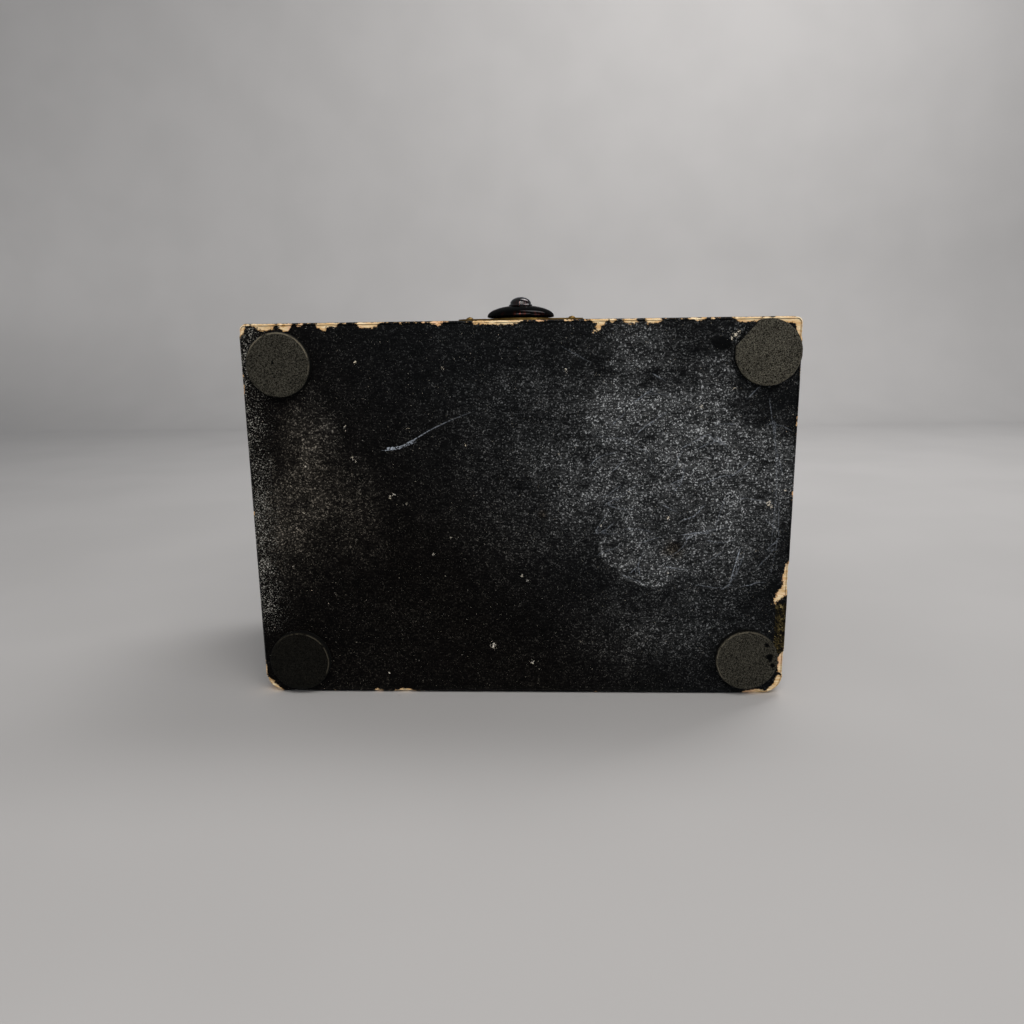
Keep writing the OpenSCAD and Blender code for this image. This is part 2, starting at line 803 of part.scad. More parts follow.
// The lid holds this rod down, and its foot then bears on the fan's brake disc
module stop_rod() {
    foot_z = brake_z[1] + 0.1;
    color([0.62, 0.63, 0.66]) {
        post(peg_at.x, peg_at.y, foot_z, lid_z + 0.1, stop_rod_r);
        translate([0, 0, foot_z]) linear_extrude(1) stop_foot();
    }
}

// A flat foot from the rod to the edge of the brake disc
module stop_foot() {
    polygon([peg_at + [0, stop_rod_r], peg_at + [0, -stop_rod_r], [worm_x + brake_r - 0.5, worm_y - 0.4],
        [worm_x + brake_r - 0.5, worm_y + 0.4]]);
}

// ---- movement: spring barrel ----

module spring_barrel() {
    color([0.7, 0.58, 0.32]) translate([cyl_x, barrel_y, 0]) difference() {
        union() {
            post(0, 0, barrel_bottom_z, flange_top_z, drum_r);
            post(0, 0, flange_top_z - flange_t, flange_top_z, crown_r + 0.9);
            for (i = [0 : crown_n - 1]) {
                rotate([0, 0, (i + 0.5) * 360 / crown_n - 90]) translate([crown_r, 0, flange_top_z - eps])
                    crown_tooth();
            }
        }
        post(0, 0, barrel_bottom_z - 1, flange_top_z - flange_t, drum_r - drum_wall);
        post(0, 0, 0, top_z, core_r + run_gap);
    }
}

// One upright crown tooth, thinner at its tip
module crown_tooth() {
    h = ded_h + add_h + eps;
    rotate([90, 0, 90]) translate([0, 0, -crown_face / 2]) linear_extrude(crown_face)
        polygon([[-0.4, 0], [0.4, 0], [0.14, h], [-0.14, h]]);
}

module barrel_cover() {
    color([0.7, 0.58, 0.32]) difference() {
        post(cyl_x, barrel_y, barrel_bottom_z + 0.2, barrel_bottom_z + cover_t, drum_r - drum_wall);
        post(cyl_x, barrel_y, 0, top_z, core_r + run_gap);
    }
}

// A wound flat spring: an even spiral from the arbor hook to the drum wall
module mainspring() {
    turns = 5;
    steps = 20;
    r0 = core_r + 0.5;
    r1 = drum_r - drum_wall - 0.15;
    strip = 0.3;
    ring = [for (i = [0 : turns * steps]) [r0 + (r1 - r0) * i / (turns * steps), i * 360 / steps]];
    inner = [for (p = ring) (p[0] - strip / 2) * [cos(p[1]), sin(p[1])]];
    outer = [for (i = [len(ring) - 1 : -1 : 0]) (ring[i][0] + strip / 2 - 0.15 * i / len(ring))
        * [cos(ring[i][1]), sin(ring[i][1])]];
    low = barrel_bottom_z + cover_t + 0.3;
    high = flange_top_z - flange_t - 0.3;
    color([0.35, 0.37, 0.42]) translate([cyl_x, barrel_y, low])
        linear_extrude(high - low) polygon(concat(inner, outer));
}

// ---- movement: winding work ----

module winding_arbor() {
    color([0.62, 0.63, 0.66]) {
        post(cyl_x, barrel_y, floor_z + 0.8, bed_z + 0.3, pivot_r);
        post(cyl_x, barrel_y, bed_z + 0.3, ratchet_z + ratchet_t, core_r);
        post(cyl_x, barrel_y, ratchet_z + ratchet_t - eps, key_z + key_hub_h - 1, stub_r);
    }
}

// Saw teeth: each rises slowly and drops steeply, so that the click holds it one way
module ratchet_wheel() {
    step = 360 / ratchet_n;
    root = ratchet_r - tooth_rise;
    color([0.62, 0.63, 0.66]) translate([cyl_x, barrel_y, ratchet_z]) linear_extrude(ratchet_t) difference() {
        polygon([for (i = [0 : ratchet_n - 1])
            for (p = [[root, i * step], [ratchet_r, i * step + 1.5], [root, (i + 1) * step - 0.5]])
                p[0] * [cos(p[1]), sin(p[1])]]);
        circle(r = core_r);
    }
}

module winding_key() {
    color([0.72, 0.6, 0.34]) difference() {
        union() {
            post(cyl_x, barrel_y, key_z, key_z + key_hub_h, key_hub_r);
            plate_y([for (p = key_wing()) [cyl_x + p.x, key_z + key_hub_h - 2 + p.y]],
                barrel_y - key_wing_t / 2, barrel_y + key_wing_t / 2);
        }
        post(cyl_x, barrel_y, key_z - 1, key_z + key_hub_h - 1, stub_r);
        for (s = [-1, 1]) {
            rod_y(cyl_x + s * 5, key_z + key_hub_h - 2 + key_wing_h / 2, barrel_y - 2, barrel_y + 2, 1.5);
        }
    }
}

// The two round lobes of the key's wings, joined at a narrow waist
function key_wing() = let (w = key_wing_w / 2, h = key_wing_h / 2) concat(
    [for (a = [-75 : 15 : 75]) [w - h + h * cos(a), h + h * sin(a)]],
    [[1.6, key_wing_h - 1], [0, key_wing_h - 1.6], [-1.6, key_wing_h - 1]],
    [for (a = [105 : 15 : 255]) [h - w + h * cos(a), h + h * sin(a)]],
    [[-1.6, 0.6], [0, 0], [1.6, 0.6]]);

// The click's arm curves round the ratchet and drops its nose against the steep side of a tooth
module click() {
    nose_r = ratchet_r - tooth_rise + 0.15;
    arm = [nose_r * [cos(44.2), sin(44.2)], 5.3 * [cos(40), sin(40)], 5.45 * [cos(20), sin(20)], [5.8, -0.4],
        [8.2, -0.2], [6.6, 2.6], [4.9, 4.6], 5.9 * [cos(46.5), sin(46.5)]];
    color([0.62, 0.63, 0.66]) translate([0, 0, ratchet_z]) linear_extrude(ratchet_t) difference() {
        union() {
            translate(click_pivot) circle(r = 1.3);
            translate([cyl_x, barrel_y]) polygon(arm);
        }
        translate(click_pivot) circle(r = 0.7);
    }
}

module click_screw() {
    color([0.75, 0.75, 0.77]) {
        post(click_pivot.x, click_pivot.y, bridge_z + 0.2, ratchet_z + ratchet_t + 0.15, 0.6);
        post(click_pivot.x, click_pivot.y, bridge_z + bridge_t, ratchet_z - 0.1, 1.2);
        post(click_pivot.x, click_pivot.y, ratchet_z + ratchet_t + 0.1, ratchet_z + ratchet_t + 0.8, 1.3);
    }
}

// A leaf spring behind the click, drawn where it stands with the click lifted
module click_spring() {
    leaf = [[-0.3, 0], [0.3, 0], [0, 2], [-1.2, 3.8], [-1.6, 3.6], [-0.5, 1.9]];
    color([0.5, 0.52, 0.56]) {
        post(spring_post.x, spring_post.y, bridge_z + 0.2, ratchet_z + 1.2, 0.5);
        translate([spring_post.x, spring_post.y, ratchet_z + 0.4]) linear_extrude(0.5) polygon(leaf);
    }
}

// ---- movement: cylinder ----

// Pins stand on the note tracks at angles that follow a rule, so the tune is nobody's
module pin_cylinder() {
    beats = 40;
    low_y = comb_mid_y - notes * note_pitch / 2;
    color([0.72, 0.6, 0.34]) {
        difference() {
            rod_y(cyl_x, axis_z, cyl_y[0], cyl_y[1], cyl_r);
            rod_y(cyl_x, axis_z, cyl_y[0] + 0.8, cyl_y[1] - 0.8, cyl_r - 0.6);
            rod_y(cyl_x, axis_z, cyl_y[0] - 1, cyl_y[1] + 1, arbor_r);
        }
        for (k = [0 : beats - 1]) {
            track = (k * 7 + floor(k / 3) * 4) % notes;
            a = (k + 0.5) * 360 / beats;
            translate([cyl_x, low_y + (track + 0.5) * note_pitch, axis_z]) rotate([0, -a, 0])
                translate([cyl_r - pin_sink, 0, 0]) rotate([0, 90, 0])
                    cylinder(r = note_pin_r, h = pin_h + pin_sink, $fn = 6);
        }
    }
}

module cylinder_arbor() {
    color([0.62, 0.63, 0.66]) rod_y(cyl_x, axis_z, front_plate_y[0] - 0.4, barrel_y - crown_r + 0.8, arbor_r);
}

module cylinder_pinion() {
    color([0.7, 0.58, 0.32])
        gear_y(cyl_x, axis_z, pinion_y[0], pinion_y[1], pinion_n, pinion_r, 0.4, 30, arbor_r);
}

module cylinder_wheel() {
    color([0.72, 0.6, 0.34])
        gear_y(cyl_x, axis_z, wheel_y[0], wheel_y[1], wheel_n, wheel_r, 0.4, 0, arbor_r);
}

module governor_pinion() {
    color([0.62, 0.63, 0.66]) {
        gear_y(gov_x, axis_z, gov_pinion_y[0], gov_pinion_y[1], gov_n, gov_r, 0.36, 180 / gov_n + 180,
            gov_arbor_r - eps);
        rod_y(gov_x, axis_z, frame_y[0] + 0.1, gov_pinion_y[1], gov_arbor_r);
    }
}

module worm_wheel() {
    color([0.72, 0.6, 0.34]) gear_y(gov_x, axis_z, worm_wheel_y[0], worm_wheel_y[1], worm_wheel_n,
        worm_wheel_r, 0.3, 180 / worm_wheel_n, gov_arbor_r);
}

// Two threads, drawn as two lobes and twisted right-handed, with a crest facing the wheel at its middle
module fan_worm() {
    half = 360 * 0.42 / worm_lead / 2;
    turn = 360 * worm_len / worm_lead;
    lobe = [for (p = [[worm_r - ded_h, -half * 1.5], [worm_r + 0.4, -half * 0.8], [worm_r + 0.4, half * 0.8],
        [worm_r - ded_h, half * 1.5]]) p[0] * [cos(p[1]), sin(p[1])]];
    color([0.35, 0.37, 0.4]) {
        translate([worm_x, worm_y, axis_z - worm_len / 2]) rotate([0, 0, 180 - turn / 2])
            linear_extrude(worm_len, twist = -turn, slices = 28) union() {
                circle(r = worm_r - ded_h + 0.05, $fn = 16);
                for (s = [0 : worm_starts - 1]) {
                    rotate([0, 0, s * 360 / worm_starts]) polygon(lobe);
                }
            }
        post(worm_x, worm_y, floor_z + 1.2, axis_z - worm_len / 2 + 0.2, fan_arbor_r);
        post(worm_x, worm_y, axis_z + worm_len / 2 - 0.2, arm_z[1] - 0.1, fan_arbor_r);
    }
}

// Two flat wings and the small brake disc above them
module air_brake() {
    color([0.75, 0.75, 0.77]) difference() {
        union() {
            post(worm_x, worm_y, blade_z[0], brake_z[0] + eps, 1);
            post(worm_x, worm_y, brake_z[0], brake_z[1], brake_r);
            span([worm_x - blade_r, worm_y - 0.2, blade_z[0]], [worm_x + blade_r, worm_y + 0.2, blade_z[1]]);
        }
        post(worm_x, worm_y, 0, top_z, fan_arbor_r);
    }
}

base_panel();
foot_pads();
front_wall();
back_wall();
left_wall();
right_wall();
partition();
cover_rails();
glass_cover();
well_cushion();
well_lining();
catch_plate();
catch_plate_pins();
case_hinge_leaves();
hinge_pins();
case_hinge_screws();
catch_knob();
catch_spindle();
catch_arm();
lid_top();
lid_front_rail();
lid_back_rail();
lid_side_rails();
lid_lining();
lid_mirror();
mirror_frame();
lid_peg();
lid_hinge_leaves();
lid_hinge_screws();
strike();
strike_screws();
bedplate();
bedplate_screws();
comb();
comb_screws();
cylinder_front_bracket();
cylinder_rear_bracket();
bracket_screws();
bridge_pillars();
barrel_bridge();
bridge_screws();
governor_frame();
click_spring();
click_screw();
stop_rod();
spring_barrel();
barrel_cover();
mainspring();
winding_arbor();
ratchet_wheel();
winding_key();
click();
pin_cylinder();
cylinder_arbor();
cylinder_pinion();
cylinder_wheel();
governor_pinion();
worm_wheel();
fan_worm();
air_brake();
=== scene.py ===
"""Looks of the wind-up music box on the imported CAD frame. Millimetres, unless a name ends in _m."""

import math

import bpy
import numpy as np
from mathutils import Matrix, Vector


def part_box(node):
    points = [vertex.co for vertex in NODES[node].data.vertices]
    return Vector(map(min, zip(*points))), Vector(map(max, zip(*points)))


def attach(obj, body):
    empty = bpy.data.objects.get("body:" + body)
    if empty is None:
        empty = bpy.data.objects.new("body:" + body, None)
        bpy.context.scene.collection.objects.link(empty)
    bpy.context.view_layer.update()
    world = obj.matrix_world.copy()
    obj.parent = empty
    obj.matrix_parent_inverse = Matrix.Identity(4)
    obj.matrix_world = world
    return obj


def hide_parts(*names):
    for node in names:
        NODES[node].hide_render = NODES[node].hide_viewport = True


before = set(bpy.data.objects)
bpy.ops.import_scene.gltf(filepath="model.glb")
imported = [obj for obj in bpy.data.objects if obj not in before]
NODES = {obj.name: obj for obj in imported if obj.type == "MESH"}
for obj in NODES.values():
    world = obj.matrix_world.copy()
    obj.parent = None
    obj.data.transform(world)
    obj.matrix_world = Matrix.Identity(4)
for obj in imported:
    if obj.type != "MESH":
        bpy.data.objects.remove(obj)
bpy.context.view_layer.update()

MM = 0.001


def node_box(name):
    """Lowest and highest corner of a CAD node, in millimetres."""
    low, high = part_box(name)
    return np.array(low) / MM, np.array(high) / MM


# ---- places read from the frame ----

PANEL_LOW, PANEL_HIGH = node_box("base_panel")
HALF_W, HALF_D = (PANEL_HIGH[:2] - PANEL_LOW[:2]) / 2
PANEL_Z = PANEL_LOW[2]
FRONT_R, BACK_R = 1.2, 3.8  # radii of the outline's corners


# ---- procedural noise for mesh work ----

LATTICE = 64


def value_noise(points, seed):
    """Smooth noise from 0 to 1 at an (n, 3) array of points, one lattice cell per unit."""
    table = np.random.default_rng(seed).random((LATTICE,) * 3)
    cell = np.floor(points).astype(int)
    part = points - cell
    part = part * part * (3 - 2 * part)
    total = np.zeros(len(points))
    for corner in np.ndindex(2, 2, 2):
        index = (cell + corner) % LATTICE
        weight = np.prod(np.where(corner, part, 1 - part), axis=1)
        total += weight * table[index[:, 0], index[:, 1], index[:, 2]]
    return total


def fractal(points, size, seed, octaves=4, stretch=(1, 1, 1)):
    """Layered noise from about 0 to 1, whose largest lumps are `size` millimetres across."""
    scaled = points / (size * np.array(stretch, float))
    total, weight = np.zeros(len(points)), 0.0
    for octave in range(octaves):
        share = 0.5 ** octave
        total += share * value_noise(scaled * 2 ** octave + 17.3 * octave, seed + octave)
        weight += share
    return total / weight


def ease(value, low, high):
    """0 below low, 1 above high, smooth between them. low may be above high, which turns it round."""
    t = np.clip((value - low) / (high - low), 0, 1)
    return t * t * (3 - 2 * t)


# ---- material graphs ----


class Graph:
    """One material's nodes, in millimetres. Each method adds a node and gives its output."""

    def __init__(self, name):
        self.material = bpy.data.materials.new(name)
        self.material.use_nodes = True
        self.tree = self.material.node_tree
        self.shader = self.tree.nodes["Principled BSDF"]
        here = self.node("ShaderNodeTexCoord", out="Object")
        self.place = self.node("ShaderNodeVectorMath", {0: here, "Scale": 1 / MM}, operation="SCALE")

    def put(self, value, socket):
        if isinstance(value, bpy.types.NodeSocket):
            self.tree.links.new(value, socket)
        else:
            socket.default_value = value

    def node(self, kind, inputs=None, out=0, **settings):
        made = self.tree.nodes.new(kind)
        for name, value in settings.items():
            setattr(made, name, value)
        for key, value in (inputs or {}).items():
            self.put(value, made.inputs[key])
        return made.outputs[out]

    def math(self, operation, a, b=0.0, clamp=False):
        return self.node("ShaderNodeMath", {0: a, 1: b}, operation=operation, use_clamp=clamp)

    def plus(self, a, b):
        return self.math("ADD", a, b)

    def minus(self, a, b):
        return self.math("SUBTRACT", a, b)

    def times(self, a, b):
        return self.math("MULTIPLY", a, b)

    def band(self, value, low, high):
        """0 at low, 1 at high, smooth between them."""
        return self.node("ShaderNodeMapRange", {0: value, 1: low, 2: high}, interpolation_type="SMOOTHSTEP")

    def mix(self, factor, a, b):
        return self.node("ShaderNodeMix", {0: factor, 6: rgba(a), 7: rgba(b)}, out=2, data_type="RGBA")

    def blend(self, factor, a, b):
        """A number between a and b."""
        return self.node("ShaderNodeMix", {0: factor, 2: a, 3: b}, data_type="FLOAT")

    def noise(self, size, detail=3.0, roughness=0.6, stretch=None, distortion=0.0):
        """Noise from 0 to 1 whose lumps are about `size` millimetres across, times each axis's stretch."""
        where = self.place
        if stretch:
            inverse = [1 / s for s in stretch]
            where = self.node("ShaderNodeVectorMath", {0: where, 1: inverse}, operation="MULTIPLY")
        return self.node("ShaderNodeTexNoise", {"Vector": where, "Scale": 1 / size, "Detail": detail,
            "Roughness": roughness, "Distortion": distortion})

    def attribute(self, name):
        return self.node("ShaderNodeAttribute", out="Fac", attribute_name=name)

    def axis(self, letter):
        return self.node("ShaderNodeSeparateXYZ", {0: self.place}, out=letter)

    def bump(self, height, depth, strength=1.0, under=None):
        """A surface that stands `depth` millimetres proud where height is 1."""
        inputs = {"Height": height, "Distance": depth * MM, "Strength": strength}
        if under is not None:
            inputs["Normal"] = under
        return self.node("ShaderNodeBump", inputs)

    def finish(self, color, roughness, normal=None, **constants):
        """Sets the shader. Constants go by the socket's name with underscores."""
        self.put(rgba(color), self.shader.inputs["Base Color"])
        self.put(roughness, self.shader.inputs["Roughness"])
        if normal is not None:
            self.put(normal, self.shader.inputs["Normal"])
        for name, value in constants.items():
            self.put(value, self.shader.inputs[name.replace("_", " ")])
        return self.material


def rgba(color):
    """A colour socket as it is, or three numbers with a full alpha."""
    return color if isinstance(color, bpy.types.NodeSocket) else (*color[:3], 1.0)


def tint(*levels):
    """A linear colour from the 0 to 255 values that a paint chart gives."""
    return tuple(((v / 255 + 0.055) / 1.055) ** 2.4 if v > 10 else v / 255 / 12.92 for v in levels)


# ---- materials ----


def bare_wood(graph):
    """Colour of the pale wood where the paint is gone."""
    grain = graph.noise(0.5, 4, 0.7, stretch=(6, 1, 1))
    dirt = graph.noise(1.6, 4, 0.7)
    clean = graph.mix(graph.band(grain, 0.35, 0.7), tint(214, 172, 118), tint(250, 230, 190))
    pink = graph.mix(graph.band(graph.noise(5.0, 2, 0.6), 0.5, 0.64), clean, tint(232, 188, 148))
    return graph.mix(graph.band(dirt, 0.56, 0.7), pink, tint(168, 120, 66))


def panel_paint():
    """The worn underside: black paint with salty grain, grey haze that is partly scuffing and partly
    painted sheen of the light, a painted cool cast towards the upper right, scratches and bare wood, from
    mesh masks.
    """
    g = Graph("base_panel_paint")
    wear, scuff_and_sheen, dust, fleck, cool_sheen_cast = (g.attribute(n) for n in ("wear", "scuff_and_sheen", "dust", "fleck", "cool_sheen_cast"))
    ragged = g.minus(g.noise(0.9, 5, 0.8), 0.5)
    bare = g.band(g.plus(wear, g.times(ragged, 1.9)), -0.04, 0.05)
    grain = g.math("POWER", g.band(g.noise(0.3, 2, 0.62), 0.52, 0.7), 1.6)
    clump = g.plus(g.times(g.noise(0.7, 2, 0.6), 2.0), -0.2)
    cloth = g.band(g.noise(0.3, 3, 0.75, stretch=(3.5, 1, 1)), 0.42, 0.7)
    speck = g.plus(g.times(g.times(grain, 4.0), clump), g.times(cloth, 0.42))
    # dark and light turn from warm towards blue-grey with the painted cool cast of the reflected light
    dark = g.mix(cool_sheen_cast, tint(3, 2, 2), tint(5, 6, 7))
    light = g.mix(cool_sheen_cast, tint(146, 137, 124), tint(191, 192, 192))
    # the haze lifts the black towards grey: partly scuffing, partly painted sheen of the light
    paint = g.mix(g.math("MULTIPLY", scuff_and_sheen, g.plus(speck, 0.05), clamp=True), dark, light)
    salt = g.band(g.plus(g.noise(0.26, 2, 0.75), g.times(dust, 0.2)), 0.73, 0.8)
    paint = g.mix(g.times(salt, g.plus(g.times(dust, 0.9), 0.03)), paint, tint(186, 182, 172))
    crumbled = g.minus(g.noise(0.34, 3, 0.8), 0.5)
    crumb = g.band(g.plus(fleck, g.times(crumbled, 4.4)), 0.86, 1.0)
    paint = g.mix(crumb, paint, g.mix(g.noise(0.9, 2, 0.6), tint(238, 216, 176), tint(204, 206, 208)))
    paint = g.mix(scratched(g, "scratch", "mark", 0.14), paint, tint(186, 192, 202))
    olive = g.band(g.plus(g.attribute("olive"), g.times(ragged, 1.5)), 0.4, 0.7)
    bruise = g.mix(g.band(g.noise(0.7, 4, 0.8), 0.46, 0.66), tint(12, 11, 7), tint(84, 72, 42))
    bruise = g.mix(g.band(g.noise(0.5, 3, 0.8), 0.6, 0.68), bruise, tint(166, 146, 100))
    paint = g.mix(olive, paint, bruise)
    # dark lines of torn paint, and one line of painted shade along the front right pad's edge
    paint = g.mix(scratched(g, "crack_and_pad_shadow", "crack_and_pad_shadow_strength", 0.26), paint, tint(2, 2, 2))
    wood = g.mix(g.times(g.band(wear, 0.3, -0.1), 0.5), bare_wood(g), tint(196, 146, 92))
    color = g.mix(bare, paint, wood)
    rough = g.blend(bare, g.blend(grain, 0.55, 0.75), 0.9)
    fibre = g.noise(0.3, 4, 0.7, stretch=(5, 1, 1))
    relief = g.bump(g.blend(bare, g.plus(grain, cloth), fibre), 0.04, 0.7)
    relief = g.bump(g.times(bare, -1.0), 0.09, 0.8, under=relief)
    return g.finish(color, rough, relief, Specular_IOR_Level=0.04)


def scratched(g, distance, strength, width):
    """A thin broken line where the signed distance to a scratch is near zero."""
    wobble = g.times(g.minus(g.noise(0.7, 3, 0.7), 0.5), 0.3)
    gap = g.math("ABSOLUTE", g.plus(g.attribute(distance), wobble))
    broken = g.band(g.noise(0.4, 3, 0.8), 0.4, 0.56)
    return g.times(g.times(g.band(gap, width, width * 0.3), broken), g.attribute(strength))


def edge_distance(g, low, high):
    """Distance in millimetres from the nearest outer edge of a box, on the box's surface."""
    middle, half = (low + high) / 2, (high - low) / 2
    parts = []
    for axis, letter in enumerate("XYZ"):
        off = g.math("ABSOLUTE", g.minus(g.axis(letter), float(middle[axis])))
        parts.append(g.minus(off, float(half[axis])))
    small, large = g.math("MINIMUM", parts[0], parts[1]), g.math("MAXIMUM", parts[0], parts[1])
    median = g.math("MAXIMUM", small, g.math("MINIMUM", large, parts[2]))
    return g.times(median, -1.0)


def lacquer(name, low, high):
    """Black paint on the outside of the case and lid, rubbed through to the wood along its edges."""
    g = Graph(name)
    edge = edge_distance(g, low, high)
    ragged = g.noise(1.2, 5, 0.78)
    stretch = g.noise(8.0, 3, 0.6)
    reach = g.times(g.band(stretch, 0.4, 0.7), g.band(ragged, 0.4, 0.72))
    bare = g.band(g.minus(g.times(reach, 1.1), edge), -0.04, 0.05)
    thin = g.band(g.minus(g.times(reach, 2.4), edge), -0.2, 0.4)
    cloud = g.noise(14.0, 5, 0.65)
    smear = g.noise(5.0, 4, 0.7, distortion=1.2)
    brush = g.noise(0.5, 3, 0.6, stretch=(18, 18, 1))
    speck = g.band(g.noise(0.26, 2, 0.8), 0.66, 0.8)
    scuffed = g.band(g.noise(11.0, 3, 0.6), 0.5, 0.7)
    hair = g.band(g.noise(0.22, 1, 0.5, stretch=(26, 26, 1), distortion=0.6), 0.72, 0.78)
    cross_hair = g.band(g.noise(0.2, 1, 0.5, stretch=(3, 26, 9), distortion=0.5), 0.7, 0.76)
    black = g.mix(g.band(cloud, 0.35, 0.7), tint(5, 5, 6), tint(13, 13, 14))
    black = g.mix(g.times(speck, g.plus(g.times(scuffed, 0.5), 0.12)), black, tint(120, 118, 112))
    lines = g.times(g.math("MAXIMUM", hair, cross_hair), g.plus(g.times(scuffed, 0.4), 0.08))
    black = g.mix(lines, black, tint(110, 112, 116))
    black = g.mix(g.times(thin, 0.6), black, tint(44, 26, 16))
    color = g.mix(bare, black, bare_wood(g))
    gloss = g.blend(g.band(smear, 0.35, 0.7), 0.3, 0.46)
    rough = g.blend(bare, g.plus(gloss, g.times(speck, 0.2)), 0.85)
    relief = g.bump(g.plus(brush, g.times(cloud, 0.5)), 0.01, 0.6)
    relief = g.bump(g.times(bare, -1.0), 0.12, 0.8, under=relief)
    return g.finish(color, rough, relief, Specular_IOR_Level=0.34)


def felt():
    """Dense dark olive felt: matted fibres, dust and a worn grey nap. The side is painted darker than the
    face as shade, and a pale rim on one side is a painted highlight.
    """
    g = Graph("pad_felt")
    fibre = g.noise(0.12, 2, 0.8, stretch=(2.4, 1, 1))
    cross = g.noise(0.12, 2, 0.8, stretch=(1, 2.4, 1))
    nap = g.math("MAXIMUM", fibre, cross)
    lint = g.band(g.noise(0.3, 2, 0.8), 0.68, 0.8)
    rust = g.band(g.noise(0.8, 3, 0.7), 0.6, 0.72)
    face = g.mix(g.band(nap, 0.46, 0.72), tint(12, 11, 9), tint(142, 136, 120))
    face = g.mix(g.times(lint, 0.6), face, tint(150, 144, 128))
    face = g.mix(g.times(rust, 0.35), face, tint(48, 28, 18))
    # tone: the pad's shade on its face, going to near-black up its side as painted shade
    color = g.mix(g.attribute("tone"), tint(3, 3, 2), face)
    color = g.mix(g.times(lint, 0.08), color, tint(170, 164, 150))
    # rim: a pale painted highlight on the rounded edge, on the side that faces the light
    color = g.mix(g.attribute("rim"), color, tint(150, 140, 120))
    color = g.mix(g.attribute("nick"), color, tint(2, 2, 2))
    relief = g.bump(nap, 0.09, 1.0)
    return g.finish(color, 0.95, relief, Sheen_Weight=0.01, Sheen_Roughness=0.6, Specular_IOR_Level=0.04)


def velvet():
    """Crimson velvet with a brushed nap and crushed patches."""
    g = Graph("velvet")
    pile = g.noise(0.16, 2, 0.7)
    nap = g.noise(0.4, 3, 0.7, stretch=(1, 2.5, 1))
    crush = g.noise(6.0, 4, 0.62, distortion=1.0)
    color = g.mix(g.band(crush, 0.36, 0.66), tint(96, 10, 24), tint(168, 26, 46))
    color = g.mix(g.times(g.band(nap, 0.46, 0.74), 0.5), color, tint(192, 52, 68))
    color = g.mix(g.band(pile, 0.3, 0.6), g.mix(0.55, color, tint(40, 3, 9)), color)
    relief = g.bump(g.plus(pile, g.times(crush, 2.0)), 0.14, 0.8)
    return g.finish(color, 0.85, relief, Sheen_Weight=0.45, Sheen_Roughness=0.35,
        Sheen_Tint=(1, 0.35, 0.4, 1), Specular_IOR_Level=0.1)


def raw_wood():
    """Unpainted pale wood inside the case."""
    g = Graph("raw_wood")
    ring = g.noise(1.1, 4, 0.65, stretch=(1, 14, 1), distortion=0.4)
    pore = g.noise(0.22, 2, 0.7, stretch=(1, 9, 1))
    color = g.mix(g.band(ring, 0.32, 0.68), tint(150, 108, 62), tint(202, 160, 106))
    color = g.mix(g.times(g.band(pore, 0.6, 0.8), 0.5), color, tint(104, 70, 38))
    return g.finish(color, 0.68, g.bump(g.plus(ring, pore), 0.05, 0.7))


def metal(name, bright, dull, stain, rough, tarnish, brushed=(1, 1, 1)):
    """Bare metal: bright where it is handled, duller in cloudy patches, with stains and fine scratches."""
    g = Graph(name)
    cloud = g.noise(3.5, 5, 0.65)
    spot = g.noise(0.7, 4, 0.75)
    scratch = g.noise(0.12, 2, 0.6, stretch=brushed)
    color = g.mix(g.band(cloud, 0.7 - tarnish, 0.85 - tarnish * 0.5), tint(*bright), tint(*dull))
    color = g.mix(g.times(g.band(spot, 0.6, 0.78), tarnish), color, tint(*stain))
    roughness = g.blend(g.band(cloud, 0.3, 0.75), rough, rough + 0.22)
    roughness = g.plus(roughness, g.times(g.band(spot, 0.55, 0.8), 0.15))
    relief = g.bump(g.plus(scratch, g.times(spot, 0.6)), 0.012, 0.7)
    return g.finish(color, roughness, relief, Metallic=1.0)


def dark_bronze(name, gloss):
    """Oil-dark bronze under a clear gloss: nearly black, with red-brown streaks where the coat is thin."""
    g = Graph(name)
    streak = g.attribute("streak")
    cloud = g.noise(4.0, 3, 0.6)
    rub = g.noise(0.4, 3, 0.7)
    thin = g.times(g.band(cloud, 0.38, 0.6), g.band(streak, 0.42, 0.66))
    color = g.mix(thin, tint(7, 5, 5), tint(54, 20, 13))
    rough = g.blend(g.band(rub, 0.3, 0.75), 0.12, 0.24)
    relief = g.bump(streak, 0.012, 0.6)
    return g.finish(color, rough, relief, Metallic=1.0, Specular_Tint=(0.12, 0.07, 0.06, 1),
        Coat_Weight=gloss, Coat_Roughness=0.05)


def glass():
    """Clear window glass, faintly green, with dust and a few smears."""
    g = Graph("clear_glass")
    smear = g.noise(6.0, 4, 0.6, distortion=0.8)
    dust = g.band(g.noise(0.35, 2, 0.8), 0.68, 0.82)
    rough = g.blend(g.math("MAXIMUM", g.band(smear, 0.55, 0.75), dust), 0.02, 0.14)
    return g.finish((0.9, 0.97, 0.95), rough, Transmission_Weight=1.0, IOR=1.5)


def silvered_glass():
    """A small mirror, with its silver foxed in spots towards the edge."""
    g = Graph("mirror_glass")
    edge = edge_distance(g, *node_box("lid_mirror"))
    fox = g.noise(1.1, 5, 0.75)
    worn = g.times(g.band(fox, 0.58, 0.7), g.band(edge, 7.0, 0.0))
    color = g.mix(worn, (0.86, 0.88, 0.88), tint(92, 84, 70))
    return g.finish(color, g.blend(worn, 0.03, 0.45), Metallic=1.0)


X_BRUSH = (6, 1, 1)  # fine scratches run along X

